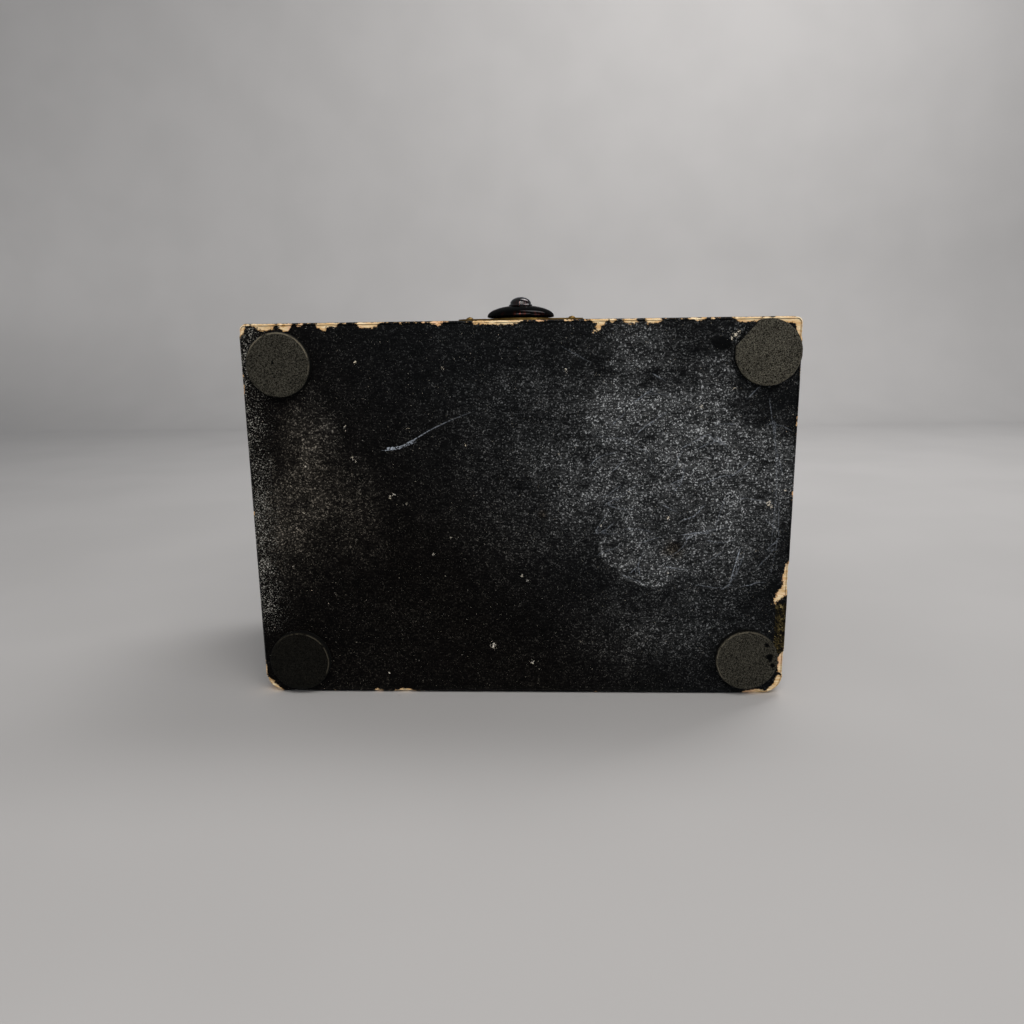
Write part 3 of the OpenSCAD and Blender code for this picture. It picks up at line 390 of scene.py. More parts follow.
# Each metal's bright, dull and stained colours, its roughness, how tarnished it is and how it is brushed
METALS = {
    "old_brass": ((168, 136, 74), (92, 70, 36), (34, 24, 15), 0.32, 0.45),
    "brass": ((224, 190, 112), (168, 132, 66), (84, 58, 28), 0.24, 0.22, X_BRUSH),
    "cast_brass": ((214, 182, 112), (160, 130, 72), (96, 72, 40), 0.38, 0.25),
    "steel": ((206, 208, 210), (158, 160, 164), (110, 88, 66), 0.22, 0.1, X_BRUSH),
    "spring_steel": ((120, 128, 146), (78, 82, 98), (92, 70, 52), 0.26, 0.16),
    "aluminium": ((222, 223, 224), (188, 190, 192), (120, 118, 112), 0.34, 0.06),
}

CASE_LOW = np.array([-HALF_W, -HALF_D, PANEL_Z])
CASE_HIGH = np.array([HALF_W, HALF_D, node_box("left_wall")[1][2]])
LID_LOW = np.array([-HALF_W, -HALF_D, node_box("lid_front_rail")[0][2]])

MATERIALS = {
    "case_paint": lacquer("case_lacquer", CASE_LOW, CASE_HIGH),
    "lid_paint": lacquer("lid_lacquer", LID_LOW, node_box("lid_top")[1]),
    "panel": panel_paint(),
    "felt": felt(),
    "velvet": velvet(),
    "wood": raw_wood(),
    "glass": glass(),
    "mirror": silvered_glass(),
    "bronze": dark_bronze("dark_bronze", 0.12),
    "button": dark_bronze("button_bronze", 0.9),
}
MATERIALS.update((name, metal(name, *looks)) for name, looks in METALS.items())

NODE_MATERIALS = {
    "case_paint": ["front_wall", "back_wall", "left_wall", "right_wall"],
    "lid_paint": ["lid_top", "lid_front_rail", "lid_back_rail", "lid_side_rails"],
    "panel": ["base_panel"],
    "felt": ["foot_pads"],
    "velvet": ["well_cushion", "well_lining", "lid_lining"],
    "wood": ["partition", "cover_rails", "lid_peg"],
    "glass": ["glass_cover"],
    "mirror": ["lid_mirror"],
    "old_brass": ["catch_plate", "catch_plate_pins"],
    "bronze": ["catch_knob"],
    "button": ["catch_spindle"],
    "brass": ["catch_arm", "strike", "strike_screws", "mirror_frame", "case_hinge_leaves",
        "case_hinge_screws", "lid_hinge_leaves", "lid_hinge_screws", "cylinder_wheel", "pin_cylinder",
        "spring_barrel", "barrel_cover", "worm_wheel"],
    "cast_brass": ["bedplate", "cylinder_front_bracket", "cylinder_rear_bracket", "barrel_bridge",
        "governor_frame", "bridge_pillars"],
    "spring_steel": ["mainspring", "click_spring"],
    "aluminium": ["air_brake"],
}  # every other node is steel

MATERIAL_OF = {node: material for material, nodes in NODE_MATERIALS.items() for node in nodes}
for node_name, node in NODES.items():
    node.data.materials.clear()
    node.data.materials.append(MATERIALS[MATERIAL_OF.get(node_name, "steel")])


# ---- mesh helpers ----


def placed(name, data):
    """A new object in the scene."""
    obj = bpy.data.objects.new(name, data)
    bpy.context.scene.collection.objects.link(obj)
    return obj


def smooth_mesh(name, points, faces, material):
    """A smooth mesh from points in millimetres."""
    mesh = bpy.data.meshes.new(name)
    mesh.from_pydata((np.asarray(points, float) * MM).tolist(), [], faces)
    mesh.polygons.foreach_set("use_smooth", [True] * len(mesh.polygons))
    mesh.materials.append(material)
    return mesh


def mesh_points(mesh):
    """A mesh's points in millimetres."""
    flat = np.zeros(3 * len(mesh.vertices))
    mesh.vertices.foreach_get("co", flat)
    return flat.reshape(-1, 3) / MM


def add_mesh(name, points, faces, material, body, masks=None):
    """A new piece that rides on a CAD body. Its masks hold a number for each point."""
    mesh = smooth_mesh(name, points, faces, material)
    for mask_name, values in (masks or {}).items():
        layer = mesh.attributes.new(mask_name, "FLOAT", "POINT")
        layer.data.foreach_set("value", np.asarray(values, np.float32))
    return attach(placed(name, mesh), body)


def corner_frame(x, y):
    """The outline's radius at each point's corner, and how far in X and Y the point is past its middle."""
    radius = np.where(y < 0, FRONT_R, BACK_R)
    return radius, np.abs(x) - (HALF_W - radius), np.abs(y) - (HALF_D - radius)


def outline_distance(x, y):
    """Signed distance outside the case's rounded outline, below 0 inside it."""
    radius, over_x, over_y = corner_frame(x, y)
    outside = np.hypot(np.maximum(over_x, 0), np.maximum(over_y, 0))
    return outside + np.minimum(np.maximum(over_x, over_y), 0) - radius


def corner_bent(x, y):
    """Bends a rectangular grid's corners round, and gives each point's outward direction too."""
    radius, over_x, over_y = corner_frame(x, y)
    in_corner = (over_x > 0) & (over_y > 0)
    length = np.hypot(over_x, over_y) + 1e-9
    scale = np.where(in_corner, np.maximum(over_x, over_y) / length, 1)
    bent_x = np.where(in_corner, np.sign(x) * (HALF_W - radius + over_x * scale), x)
    bent_y = np.where(in_corner, np.sign(y) * (HALF_D - radius + over_y * scale), y)
    side = over_x > over_y
    out_x = np.where(in_corner, np.sign(x) * over_x / length, np.where(side, np.sign(x), 0))
    out_y = np.where(in_corner, np.sign(y) * over_y / length, np.where(side, 0, np.sign(y)))
    return bent_x, bent_y, out_x, out_y


def slab(low_z, high_z, edge_r, step):
    """Points and faces of a board with the case's outline: a fine grid underneath, a round lower edge and a
    cap on top. Also gives each point's outward direction."""
    half_w, half_d = HALF_W - edge_r, HALF_D - edge_r
    columns, rows = round(2 * half_w / step) + 1, round(2 * half_d / step) + 1
    grid_x, grid_y = np.meshgrid(np.linspace(-half_w, half_w, columns), np.linspace(-half_d, half_d, rows))
    x, y, out_x, out_y = (v.ravel() for v in corner_bent(grid_x, grid_y))
    index = np.arange(rows * columns).reshape(rows, columns)
    quads = np.stack([index[:-1, :-1], index[1:, :-1], index[1:, 1:], index[:-1, 1:]], -1).reshape(-1, 4)
    loop = np.concatenate([index[0, :-1], index[:-1, -1], index[-1, :0:-1], index[:0:-1, 0]])
    points = [np.stack([x, y, np.full_like(x, low_z)], 1)]
    outward = [np.tile((0.0, 0.0, -1.0), (len(x), 1))]
    arc = np.radians(np.arange(22.5, 91, 22.5))
    thick = high_z - low_z
    rise = [(edge_r * math.sin(a), edge_r * (1 - math.cos(a)), a) for a in arc]
    rise += [(edge_r, h, math.pi / 2) for h in np.linspace(edge_r, thick - edge_r / 2, 9)[1:]]
    rise += [(edge_r / 2, thick, math.pi / 2)]
    faces, last, total = quads.tolist(), loop, len(x)
    side = np.stack([out_x[loop], out_y[loop], 0 * loop], 1)
    for grow, height, angle in rise:
        points.append(points[0][loop] + side * grow + (0, 0, height))
        outward.append(side * math.sin(angle) - (0, 0, math.cos(angle)))
        now = np.arange(total, total + len(loop))
        total += len(loop)
        faces += np.stack([last, now, np.roll(now, -1), np.roll(last, -1)], 1).tolist()
        last = now
    faces.append(last[::-1].tolist())
    return np.concatenate(points), faces, np.concatenate(outward)


def spot(points, centre, radii, turn_deg=0.0):
    """How far each point is from the middle of an oval on the panel: 0 in the middle, 1 on its outline."""
    turn = math.radians(turn_deg)
    x, y = points[:, 0] - centre[0], points[:, 1] - centre[1]
    along, across = x * math.cos(turn) + y * math.sin(turn), y * math.cos(turn) - x * math.sin(turn)
    return np.hypot(along / radii[0], across / radii[1])


def line_distance(points, route):
    """Each point's distance from a line of straight runs, its side, and how far along it is, 0 to 1."""
    best, side, where = np.full(len(points), 1e9), np.ones(len(points)), np.zeros(len(points))
    for k in range(len(route) - 1):
        start, end = np.array(route[k], float), np.array(route[k + 1], float)
        way = end - start
        off = points[:, :2] - start
        t = np.clip((off @ way) / (way @ way), 0, 1)
        gap = np.linalg.norm(off - t[:, None] * way, axis=1)
        nearer = gap < best
        best = np.where(nearer, gap, best)
        side = np.where(nearer, np.sign(way[0] * off[:, 1] - way[1] * off[:, 0]), side)
        where = np.where(nearer, (k + t) / (len(route) - 1), where)
    return best, side, where


# ---- base panel ----

PANEL_EDGE_R = 0.4
PANEL_STEP = 0.3

# Where paint is chipped off the rim: middle of the oval, its radii, and its turn in degrees if it has one
RIM_CHIPS = [
    ((-HALF_W + 0.2, -HALF_D + 0.9), (1.1, 1.7)),
    ((-48.8, -HALF_D + 0.2), (2.4, 1.2)),
    ((-44.8, -HALF_D + 0.2), (1.3, 1.3)),
    ((-37.6, -HALF_D + 0.2), (1.1, 1.2)),
    ((-28.9, -HALF_D + 0.1), (2.2, 1.1)),
    ((16.2, -HALF_D + 0.6), (0.6, 2.2), 38),
    ((21.7, -HALF_D + 0.1), (1.4, 0.9)),
    ((25.5, -HALF_D + 0.1), (1.2, 1.0)),
    ((43.6, -HALF_D), (2.8, 1.0)),
    ((HALF_W - 2.2, -HALF_D + 0.2), (3.6, 1.1)),
    ((HALF_W, -HALF_D + 1.8), (1.4, 2.6)),
    ((HALF_W - 0.2, 13.2), (1.0, 3.4), 4),
    ((HALF_W - 1.3, 16.4), (0.8, 2.4), 36),
    ((HALF_W, 31.4), (1.2, 3.4)),
    ((HALF_W - 0.9, 35.2), (0.9, 1.6), 20),
    ((HALF_W - 1.2, HALF_D - 1.2), (1.2, 4.4), 45),
    ((HALF_W - 5.2, HALF_D), (2.8, 0.8)),
    ((-HALF_W + 1.1, HALF_D - 1.1), (1.2, 3.6), -45),
    ((-30.2, HALF_D), (1.0, 0.6)),
    ((-24.3, HALF_D), (2.3, 0.6)),
]

# Patches of grey haze, partly scuffing and partly painted sheen of the light on the satin paint: middle,
# radii, strength
SCUFF_AND_SHEEN_PATCHES = [
    ((32, -14), (26, 24), 0.3),
    ((41, 0), (15, 24), 0.17),
    ((38, -23), (6, 7), 0.22),
    ((12, -22), (26, 16), 0.09),
    ((14.5, -22.5), (4, 3.4), 0.1),
    ((28, 8), (9, 8), 0.1),
    ((22, -5), (11, 9), 0.08),
    ((-41, -13), (7, 12), 0.28),
    ((-37.6, -18), (2.4, 1.6), 0.2),
    ((-46, 0), (8, 18), 0.24),
    ((-34, -2), (9, 13), 0.12),
    ((4, 0), (22, 16), 0.07),
    ((30, 24), (24, 11), 0.13),
]

# Scuffed lobes with a pale outline on their lower left, right of the middle
LOBES = [((21.0, 6.8), (5.0, 4.2)), ((26.0, 11.4), (6.2, 3.6))]

# Warm brown stains in the haze, which warm the painted cool cast there: x, y, radius
STAINS = [(30.6, 7.2, 2.6), (4.8, -0.2, 1.4)]

# Scratches: route, strength at the start and at the end
SCRATCHES = [
    ([(-26, -13.6), (-23.4, -13.9), (-21, -15), (-17.2, -17.2), (-12.8, -19.2), (-9, -20.6)], 1.0, 0.05),
    ([(-26.2, -13.2), (-23.6, -13.5), (-20.6, -14.6)], 0.9, 0.4),
    ([(43.9, 7.7), (43.1, 11.0), (42.1, 14.8)], 0.8, 0.35),
    ([(44.6, 9.0), (43.4, 13.0)], 0.35, 0.2),
    ([(49.6, -18.0), (50.6, -6.0), (50.2, 6.0)], 0.22, 0.14),
    ([(48.4, -22.0), (49.8, -14.0), (51.6, -8.0)], 0.2, 0.16),
    ([(51.2, -2.0), (51.4, 5.0), (50.4, 12.0)], 0.2, 0.14),
    ([(32.9, 1.1), (34.8, 0.4), (36.5, -1.6)], 0.7, 0.4),
    ([(33.0, 4.2), (37.4, 3.4), (41.0, 2.8)], 0.4, 0.15),
    ([(9.0, -32.6), (13.4, -30.2)], 0.2, 0.1),
    ([(20.0, -15.0), (25.0, -12.6), (27.0, -8.4)], 0.22, 0.1),
    ([(26.2, -27.4), (28.0, -26.4)], 0.3, 0.2),
]
FINE_SCRATCHES = 46

# Torn paint beside the front right pad: dark lines, in the same form. The run from (41.0, -29.4) to (47.6,
# -24.6) follows the pad's lower left edge and is painted shade there.
CRACKS_AND_PAD_SHADOW = [
    ([(43.4, -35.4), (42.0, -33.7), (40.5, -32.2)], 1.0, 1.0),
    ([(36.4, -34.0), (38.6, -32.8), (40.6, -31.8), (41.0, -29.4)], 0.7, 0.9),
    ([(41.0, -29.4), (42.2, -27.0), (44.8, -25.2), (47.6, -24.6)], 0.8, 0.5),
    ([(43.0, -26.8), (45.4, -26.4)], 0.6, 0.4),
    ([(2.0, 20.6), (4.6, 22.6), (7.2, 25.0)], 0.6, 0.4),
]

# Pale crumbs stuck to the paint: x, y, radius
SPECKS = [
    (-33.0, -11.7, 0.7), (-32.3, -11.0, 0.6), (-42.6, -10.0, 0.5), (-25.8, -3.8, 0.7), (-25.0, -4.2, 0.5),
    (-14.5, -29.0, 0.6), (-10.4, -14.1, 0.45), (-21.6, -17.5, 0.45), (-31.5, -30.4, 0.5),
    (-34.3, -18.0, 0.6), (-34.2, -17.0, 0.4), (35.5, -21.2, 0.7), (41.6, -24.7, 0.55), (9.4, -28.5, 0.6),
    (-5.6, 27.7, 1.3), (-17.4, 8.1, 0.55), (-13.9, 4.6, 0.45), (0.4, 12.7, 0.6), (1.6, 13.6, 0.5),
    (-43.6, -0.6, 0.4), (-22.5, -2.3, 0.5), (-23.2, -2.2, 0.4), (29.7, 0.9, 0.8), (25.4, 1.9, 0.5),
    (49.2, -2.0, 1.1), (50.0, -1.4, 0.7), (52.3, -4.7, 0.55), (2.5, 31.4, 0.7), (29.9, 12.0, 0.5),
    (47.3, 7.7, 0.55), (44.4, 8.2, 0.5), (41.4, -34.6, 1.0), (42.0, -35.2, 0.7), (40.8, -34.0, 0.6),
    (16.4, 2.4, 0.4), (-46.6, 10.6, 0.4), (-38.0, 16.4, 0.4), (12.6, 26.8, 0.45), (51.6, 31.0, 0.5),
    (50.8, 24.6, 0.5), (-27.6, 33.8, 0.5), (-12.0, 29.8, 0.35), (21.8, -4.6, 0.4), (8.0, -12.2, 0.35),
]

EDGE_BAND = 4  # how far in from an edge its rubbed rim may reach
UNWORN = -9.0  # the wear away from the edges


def front_wear(points):
    """How far in from the front edge the paint is gone, in millimetres: a thin band with ragged teeth."""
    along = np.stack([points[:, 0], points[:, 1] * 0.6, points[:, 2] * 0.3], 1)
    slow = fractal(along, 9.0, 11, 2)
    teeth = fractal(along, 2.2, 23, 3)
    return -0.3 + 0.46 * ease(slow, 0.3, 0.52) + 0.74 * ease(teeth, 0.46, 0.84)


def side_wear(points, amount, seed):
    """The same for the other edges: mostly sound, with a few rubbed places."""
    slow = fractal(points, 5.0, seed, 3)
    return amount * ease(slow, 0.5, 0.68) - 0.15


def fine_scratches():
    """Short faint arcs over the scuffed right-hand side, always the same ones."""
    rng = np.random.default_rng(211)
    found = []
    for _ in range(FINE_SCRATCHES):
        start = np.array([rng.uniform(14, 50), rng.uniform(-24, 16)])
        heading = rng.normal(-0.35, 0.55)
        route = [tuple(start)]
        for _ in range(3):
            heading += rng.normal(0, 0.22)
            start = start + rng.uniform(0.6, 2.2) * np.array([math.cos(heading), math.sin(heading)])
            route.append(tuple(start))
        found.append((route, rng.uniform(0.15, 0.5), rng.uniform(0.05, 0.3)))
    return found


def line_field(points, lines):
    """Signed distance to the nearest of some lines, and its strength, which fades away from it."""
    gap, side, strength = np.full(len(points), 9.0), np.ones(len(points)), np.zeros(len(points))
    for route, first, last in lines:
        distance, sign, where = line_distance(points, route)
        nearer = distance < gap
        gap, side = np.where(nearer, distance, gap), np.where(nearer, sign, side)
        strength = np.where(nearer, first + (last - first) * where, strength)
    return np.clip(gap * side, -1.5, 1.5), strength * ease(gap, 1.2, 0.5)


def panel_masks(points):
    """The panel's wear, marks, painted sheen and painted shade at each point. wear is millimetres into bare
    wood, below 0 on sound paint.
    """
    x, y, height = points[:, 0], points[:, 1], np.maximum(points[:, 2] - PANEL_Z, 0)
    reach = 1.3 * height - outline_distance(x, y)
    lumpy = fractal(points, 1.3, 3, 3) - 0.5
    wear = np.where(y < -HALF_D + EDGE_BAND, front_wear(points), UNWORN)
    for gap, amount, seed in ((HALF_W + x, 0.5, 41), (HALF_W - x, 0.45, 51), (HALF_D - y, 0.3, 61)):
        wear = np.maximum(wear, np.where(gap < EDGE_BAND, side_wear(points, amount, seed), UNWORN))
    wear -= reach
    for centre, radii, *turn in RIM_CHIPS:
        near = spot(points, centre, radii, *turn) + 0.5 * lumpy
        wear = np.maximum(wear, (1 - near) * min(radii) - 0.35 * height)
    cloud = fractal(points, 11, 71, 4)
    streak = fractal(points, 2.0, 73, 4, stretch=(7, 1, 1))
    # haze: grey scuffing and a painted sheen of the light on the satin paint, brightest towards the upper
    # right
    scuff_and_sheen = 0.012 + 0.03 * cloud
    for centre, radii, strength in SCUFF_AND_SHEEN_PATCHES:
        scuff_and_sheen += strength * ease(spot(points, centre, radii) + 1.0 * (cloud - 0.5), 1.2, 0.1)
    upper = ease(y, 6, -20) * ease(x, -10, 20)
    mottle = fractal(points, 3.2, 79, 3) + fractal(points, 1.1, 81, 2) - 1
    scuff_and_sheen *= np.maximum(0.86 + upper * 1.8 * (streak - 0.5) + 1.3 * mottle, 0.1)
    for centre, radii in LOBES:
        near = spot(points, centre, radii) + 0.5 * (fractal(points, 3.5, 83, 2) - 0.5)
        west = ease((x - centre[0]) / radii[0] - (y - centre[1]) / radii[1], 0.6, -0.8)
        scuff_and_sheen += 0.12 * ease(near, 1.02, 0.94) + 0.24 * west * np.exp(-((near - 0.92) / 0.08) ** 2)
    left = ease(x, -HALF_W + 10, -HALF_W + 1) * ease(y, 32, 18)
    right = ease(x, HALF_W - 9, HALF_W - 2) * ease(y, 22, 8)
    dust = 0.06 + 0.75 * left * (0.4 + 1.2 * fractal(points, 2.6, 87, 3)) + 0.22 * right
    dust += 0.1 * ease(x, 12, 40) * upper
    fleck = np.zeros(len(points))
    for *centre, radius in SPECKS:
        fleck = np.maximum(fleck, ease(spot(points, centre, (radius, radius)), 1.12, 0.0))
    scratch, mark = line_field(points, SCRATCHES + fine_scratches())
    crack_and_pad_shadow, crack_and_pad_shadow_strength = line_field(points, CRACKS_AND_PAD_SHADOW)
    # blob: the hollow under the torn flap, kept black with no haze or crumbs as painted shade
    blob = ease(spot(points, (38.6, -33.2), (2.0, 1.4), 20) + 0.9 * lumpy, 1.1, 0.8)
    olive = ease(x, HALF_W - 3.0, HALF_W - 1.6) * ease(y, 17.6, 19.4) * ease(y, 30.5, 28)
    # painted cool cast of the reflected light: blue-grey towards the upper right, warm brown-black towards
    # the lower left
    cool_sheen_cast = ease(x - 0.9 * y, -34, 22)
    for *centre, radius in STAINS:
        cool_sheen_cast = np.minimum(cool_sheen_cast, ease(spot(points, centre, (radius, radius)) + 0.8 * lumpy, 0.3, 1.1))
    return {"wear": np.clip(wear, -1.2, 1.2), "scuff_and_sheen": np.clip(scuff_and_sheen, 0, 1) * (1 - blob),
        "dust": np.clip(dust, 0, 1), "fleck": fleck * (1 - blob), "cool_sheen_cast": cool_sheen_cast, "scratch": scratch,
        "mark": mark, "crack_and_pad_shadow": crack_and_pad_shadow, "crack_and_pad_shadow_strength": crack_and_pad_shadow_strength, "olive": olive}


def make_base_panel():
    """The underside board, sunk a little wherever its paint is gone."""
    points, faces, outward = slab(PANEL_Z, PANEL_HIGH[2], PANEL_EDGE_R, PANEL_STEP)
    masks = panel_masks(points)
    bare = ease(masks["wear"], -0.1, 0.3)
    splinter = fractal(points, 0.9, 101, 4, stretch=(2, 1, 1))
    paint_skin = 0.05 * (fractal(points, 3.0, 107, 4) - 0.5) + 0.03 * (fractal(points, 0.7, 109, 2) - 0.5)
    worn_round = ease(outline_distance(points[:, 0], points[:, 1]), -1.4, 0.0) * 0.08
    depth = bare * (0.06 + 0.14 * splinter + worn_round) + (1 - bare) * (0.04 - paint_skin)
    depth *= ease(points[:, 2], PANEL_HIGH[2] - 0.1, PANEL_HIGH[2] - 0.8)
    points -= outward * depth[:, None]
    panel = add_mesh("base_panel_painted", points, faces, MATERIALS["panel"], "case", masks)
    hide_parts("base_panel")


# ---- foot pads ----

PAD_RINGS = 26
PAD_SPOKES = 160
PAD_ROUND_R = 0.22

# Each pad's shade, the bearing of its pale rim in degrees and how strong that rim is. The pale rim is a
# painted highlight on the rounded edge that faces the light.
PAD_LOOKS = [(0.41, -75, 0.6), (0.64, 60, 0.1), (0.06, -50, 0.2), (0.41, -140, 0.35)]

# A straight tear across a pad: its direction from the middle in degrees, and its distance from the middle
PAD_TEARS = {1: (-138, 5.5)}

# Dark gouges in a pad: pad, place from the middle, radius
PAD_GOUGES = {3: [((4.6, -0.6), 0.8), ((3.8, -3.4), 0.5), ((5.2, 1.0), 0.5)], 0: [((-1.0, -0.4), 0.35)]}


def pad_solids():
    """Middle, radius and thickness of each felt pad: front left, front right, back left, back right."""
    places = mesh_points(NODES["foot_pads"].data)
    for back, right in np.ndindex(2, 2):
        solid = places[((places[:, 1] > 0) == back) & ((places[:, 0] > 0) == right)]
        low, high = solid.min(0), solid.max(0)
        yield (low + high) / 2, (high[0] - low[0]) / 2, high[2] - low[2]


def make_pad(number, centre, radius, thick):
    """One stick-on felt disc: a matted face, a soft round rim with a painted highlight on one side, and a
    slightly frayed side painted dark as shade.
    """
    flat_r = radius - PAD_ROUND_R
    arc = np.radians([18, 36, 54, 72, 90])
    profile = [(r, 0.0) for r in np.linspace(0, 1, PAD_RINGS)[1:] ** 0.8 * flat_r]
    profile += [(radius - PAD_ROUND_R * (1 - math.sin(a)), PAD_ROUND_R * (1 - math.cos(a))) for a in arc]
    profile += [(radius, h) for h in np.linspace(PAD_ROUND_R, thick, 6)[1:]]
    angle = np.linspace(0, 2 * math.pi, PAD_SPOKES, endpoint=False)
    points = [[centre[0], centre[1], 0.0]]
    for r, h in profile:
        points += [[centre[0] + r * math.cos(a), centre[1] + r * math.sin(a), h] for a in angle]
    points = np.array(points)
    ring = np.arange(1, len(points)).reshape(-1, PAD_SPOKES)
    after = np.roll(ring, -1, 1)
    faces = [(0, int(far), int(near)) for near, far in zip(ring[0], after[0])]
    faces += np.stack([ring[:-1], after[:-1], after[1:], ring[1:]], -1).reshape(-1, 4).tolist()
    faces.append(ring[-1].tolist())
    away = points[:, :2] - np.array(centre[:2])
    distance = np.linalg.norm(away, axis=1)
    bearing = away / (distance[:, None] + 1e-9)
    fray = fractal(points, 0.8, 131 + number, 3)
    pull = 0.22 * ease(distance, radius - 1.2, radius) * fray
    if number in PAD_TEARS:
        heading, reach = math.radians(PAD_TEARS[number][0]), PAD_TEARS[number][1]
        normal = np.array([math.cos(heading), math.sin(heading)])
        over = np.maximum(away @ normal - reach - 0.35 * (fray - 0.5), 0)
        points[:, :2] -= normal * over[:, None]
    points[:, :2] -= bearing * pull[:, None]
    lump = fractal(points, 2.4, 141 + number, 3)
    nap = fractal(points, 0.5, 151 + number, 2)
    heights = points[:, 2].copy()
    points[:, 2] += (heights < PAD_ROUND_R) * (0.1 * lump + 0.05 * nap)
    tone, bearing_deg, rim_highlight_strength = PAD_LOOKS[number]
    toward = np.cos(np.arctan2(away[:, 1], away[:, 0]) - math.radians(bearing_deg))
    # rim: a painted highlight along the edge, strongest towards the pad's bearing
    rim = rim_highlight_strength * ease(toward, -0.2, 0.6) * np.exp(-((distance - radius + 0.22) / 0.09) ** 2)
    rim *= ease(fray, 0.3, 0.5)
    # the face keeps the pad's tone; up the side it falls to 0, painted shade on the side
    shaded = tone * ease(heights, 0.34, 0.14) * (0.8 + 0.4 * lump)
    nick = np.zeros(len(points))
    for place, size in PAD_GOUGES.get(number, []):
        gap = np.hypot(away[:, 0] - place[0], away[:, 1] - place[1]) / size + 1.2 * (nap - 0.5)
        nick = np.maximum(nick, ease(gap, 1.1, 0.8))
    pad = add_mesh(f"felt_pad_{number + 1}", points, faces, MATERIALS["felt"], "case",
        {"rim": rim, "nick": nick, "tone": shaded})
    return pad


def make_foot_pads():
    pads = [make_pad(number, *solid) for number, solid in enumerate(pad_solids())]
    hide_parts("foot_pads")


# ---- turned pieces of the catch ----

TURNED_SPOKES = 128
PIN_HEAD_R, PIN_SHANK_R = 0.8, 0.45


def turned(name, profile, middle, material, body, closed=False):
    """A turned piece whose axis runs along Y. profile lists (radius, y) from the front backwards."""
    axis_x, axis_z = middle[0], middle[2]
    angle = np.linspace(0, 2 * math.pi, TURNED_SPOKES, endpoint=False)
    points, rings, streak = [], [], []
    for radius, y in profile:
        around = angle if radius > 0 else angle[:1]
        rings.append(range(len(points), len(points) + len(around)))
        points += [[axis_x + radius * math.cos(a), y, axis_z + radius * math.sin(a)] for a in around]
        streak += [[7 * math.cos(a), 7 * math.sin(a), 0.15 * radius] for a in around]
    faces = []
    for front, back in zip(rings, rings[1:] + (rings[:1] if closed else [])):
        for k in range(TURNED_SPOKES):
            quad = [front[k % len(front)], back[k % len(back)], back[(k + 1) % len(back)],
                front[(k + 1) % len(front)]]
            faces.append(list(dict.fromkeys(quad)))
    return add_mesh(name, points, faces, material, body, {"streak": fractal(np.array(streak), 0.5, 171, 3)})


def make_knob():
    """The catch's hollow domed disc, with a thin rolled rim."""
    low, high = node_box("catch_knob")
    middle, radius, rise = (low + high) / 2, (high[0] - low[0]) / 2, high[1] - low[1]
    bore, skin, rim = 1.5, 0.7, 0.28
    sweep = np.radians(np.linspace(0, 90, 40))
    dome = [(radius * math.sin(a), high[1] - rim - (rise - rim) * math.cos(a)) for a in sweep]
    dome = [(r, y) for r, y in dome if r > bore + 0.1]
    roll = np.radians(np.arange(20, 181, 20))
    rolled = [(radius - rim * (1 - math.cos(a)), high[1] - rim + rim * math.sin(a)) for a in roll]
    hollow_r, hollow = radius - skin, rise - rim - skin
    inner = [(hollow_r * math.sin(a), high[1] - rim - hollow * math.cos(a)) for a in sweep[::-1]]
    inner = [(r, y) for r, y in inner if bore + 0.1 < r < radius - 2 * rim]
    profile = [(bore, dome[0][1])] + dome + rolled + inner + [(bore, inner[-1][1])]
    knob = turned("catch_knob_turned", profile, middle, MATERIALS["bronze"], "catch", closed=True)
    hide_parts("catch_knob")


def make_spindle():
    """The catch's spindle, with a round button head whose flared foot sits on the knob."""
    low, high = node_box("catch_spindle")
    knob_front = node_box("catch_knob")[0][1]
    middle, button_r, rod_r = (low + high) / 2, (high[0] - low[0]) / 2, 1.45
    crown_r, foot = button_r - 0.28, 0.3
    sweep = np.radians(np.linspace(0, 80, 18))
    crown_back = knob_front - foot
    profile = [(crown_r * math.sin(a), crown_back - (crown_back - low[1]) * math.cos(a)) for a in sweep]
    profile += [(crown_r, crown_back), (crown_r + 0.06, crown_back + 0.12)]
    profile += [(button_r - 0.06, crown_back + 0.2), (button_r, knob_front + 0.02)]
    profile += [(button_r - 0.04, knob_front + 0.2), (rod_r, knob_front + 0.24)]
    profile += [(rod_r, y) for y in np.linspace(knob_front + 1, high[1] - 0.2, 6)]
    profile += [(rod_r - 0.2, high[1]), (0, high[1])]
    spindle = turned("catch_spindle_turned", profile, middle, MATERIALS["button"], "catch")
    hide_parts("catch_spindle")


def make_plate_pins():
    """Two small nails with domed heads that hold the catch plate."""
    low, high = node_box("catch_plate_pins")
    plate_front = node_box("catch_plate")[0][1]
    head = plate_front - low[1]
    sweep = np.radians(np.linspace(0, 90, 9))
    profile = [(PIN_HEAD_R * math.sin(a), plate_front - head * math.cos(a)) for a in sweep]
    profile += [(PIN_SHANK_R, plate_front), (PIN_SHANK_R, high[1] - 0.8), (0, high[1])]
    for number, x in enumerate((low[0] + PIN_HEAD_R, high[0] - PIN_HEAD_R)):
        middle = (x, 0, (low[2] + high[2]) / 2)
        name = f"catch_plate_pin_{number + 1}"
        turned(name, profile, middle, MATERIALS["old_brass"], "case")
    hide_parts("catch_plate_pins")


# ---- velvet ----

LINING_T = 1.4
SWELL_SCALE = 10  # the cushion is 2.8 mm thick, too thin for the cloth solver at its real size
SWELL_FRAMES = 20
SWELL_PRESSURE = 4
SWELL_VOXEL_M = 0.006


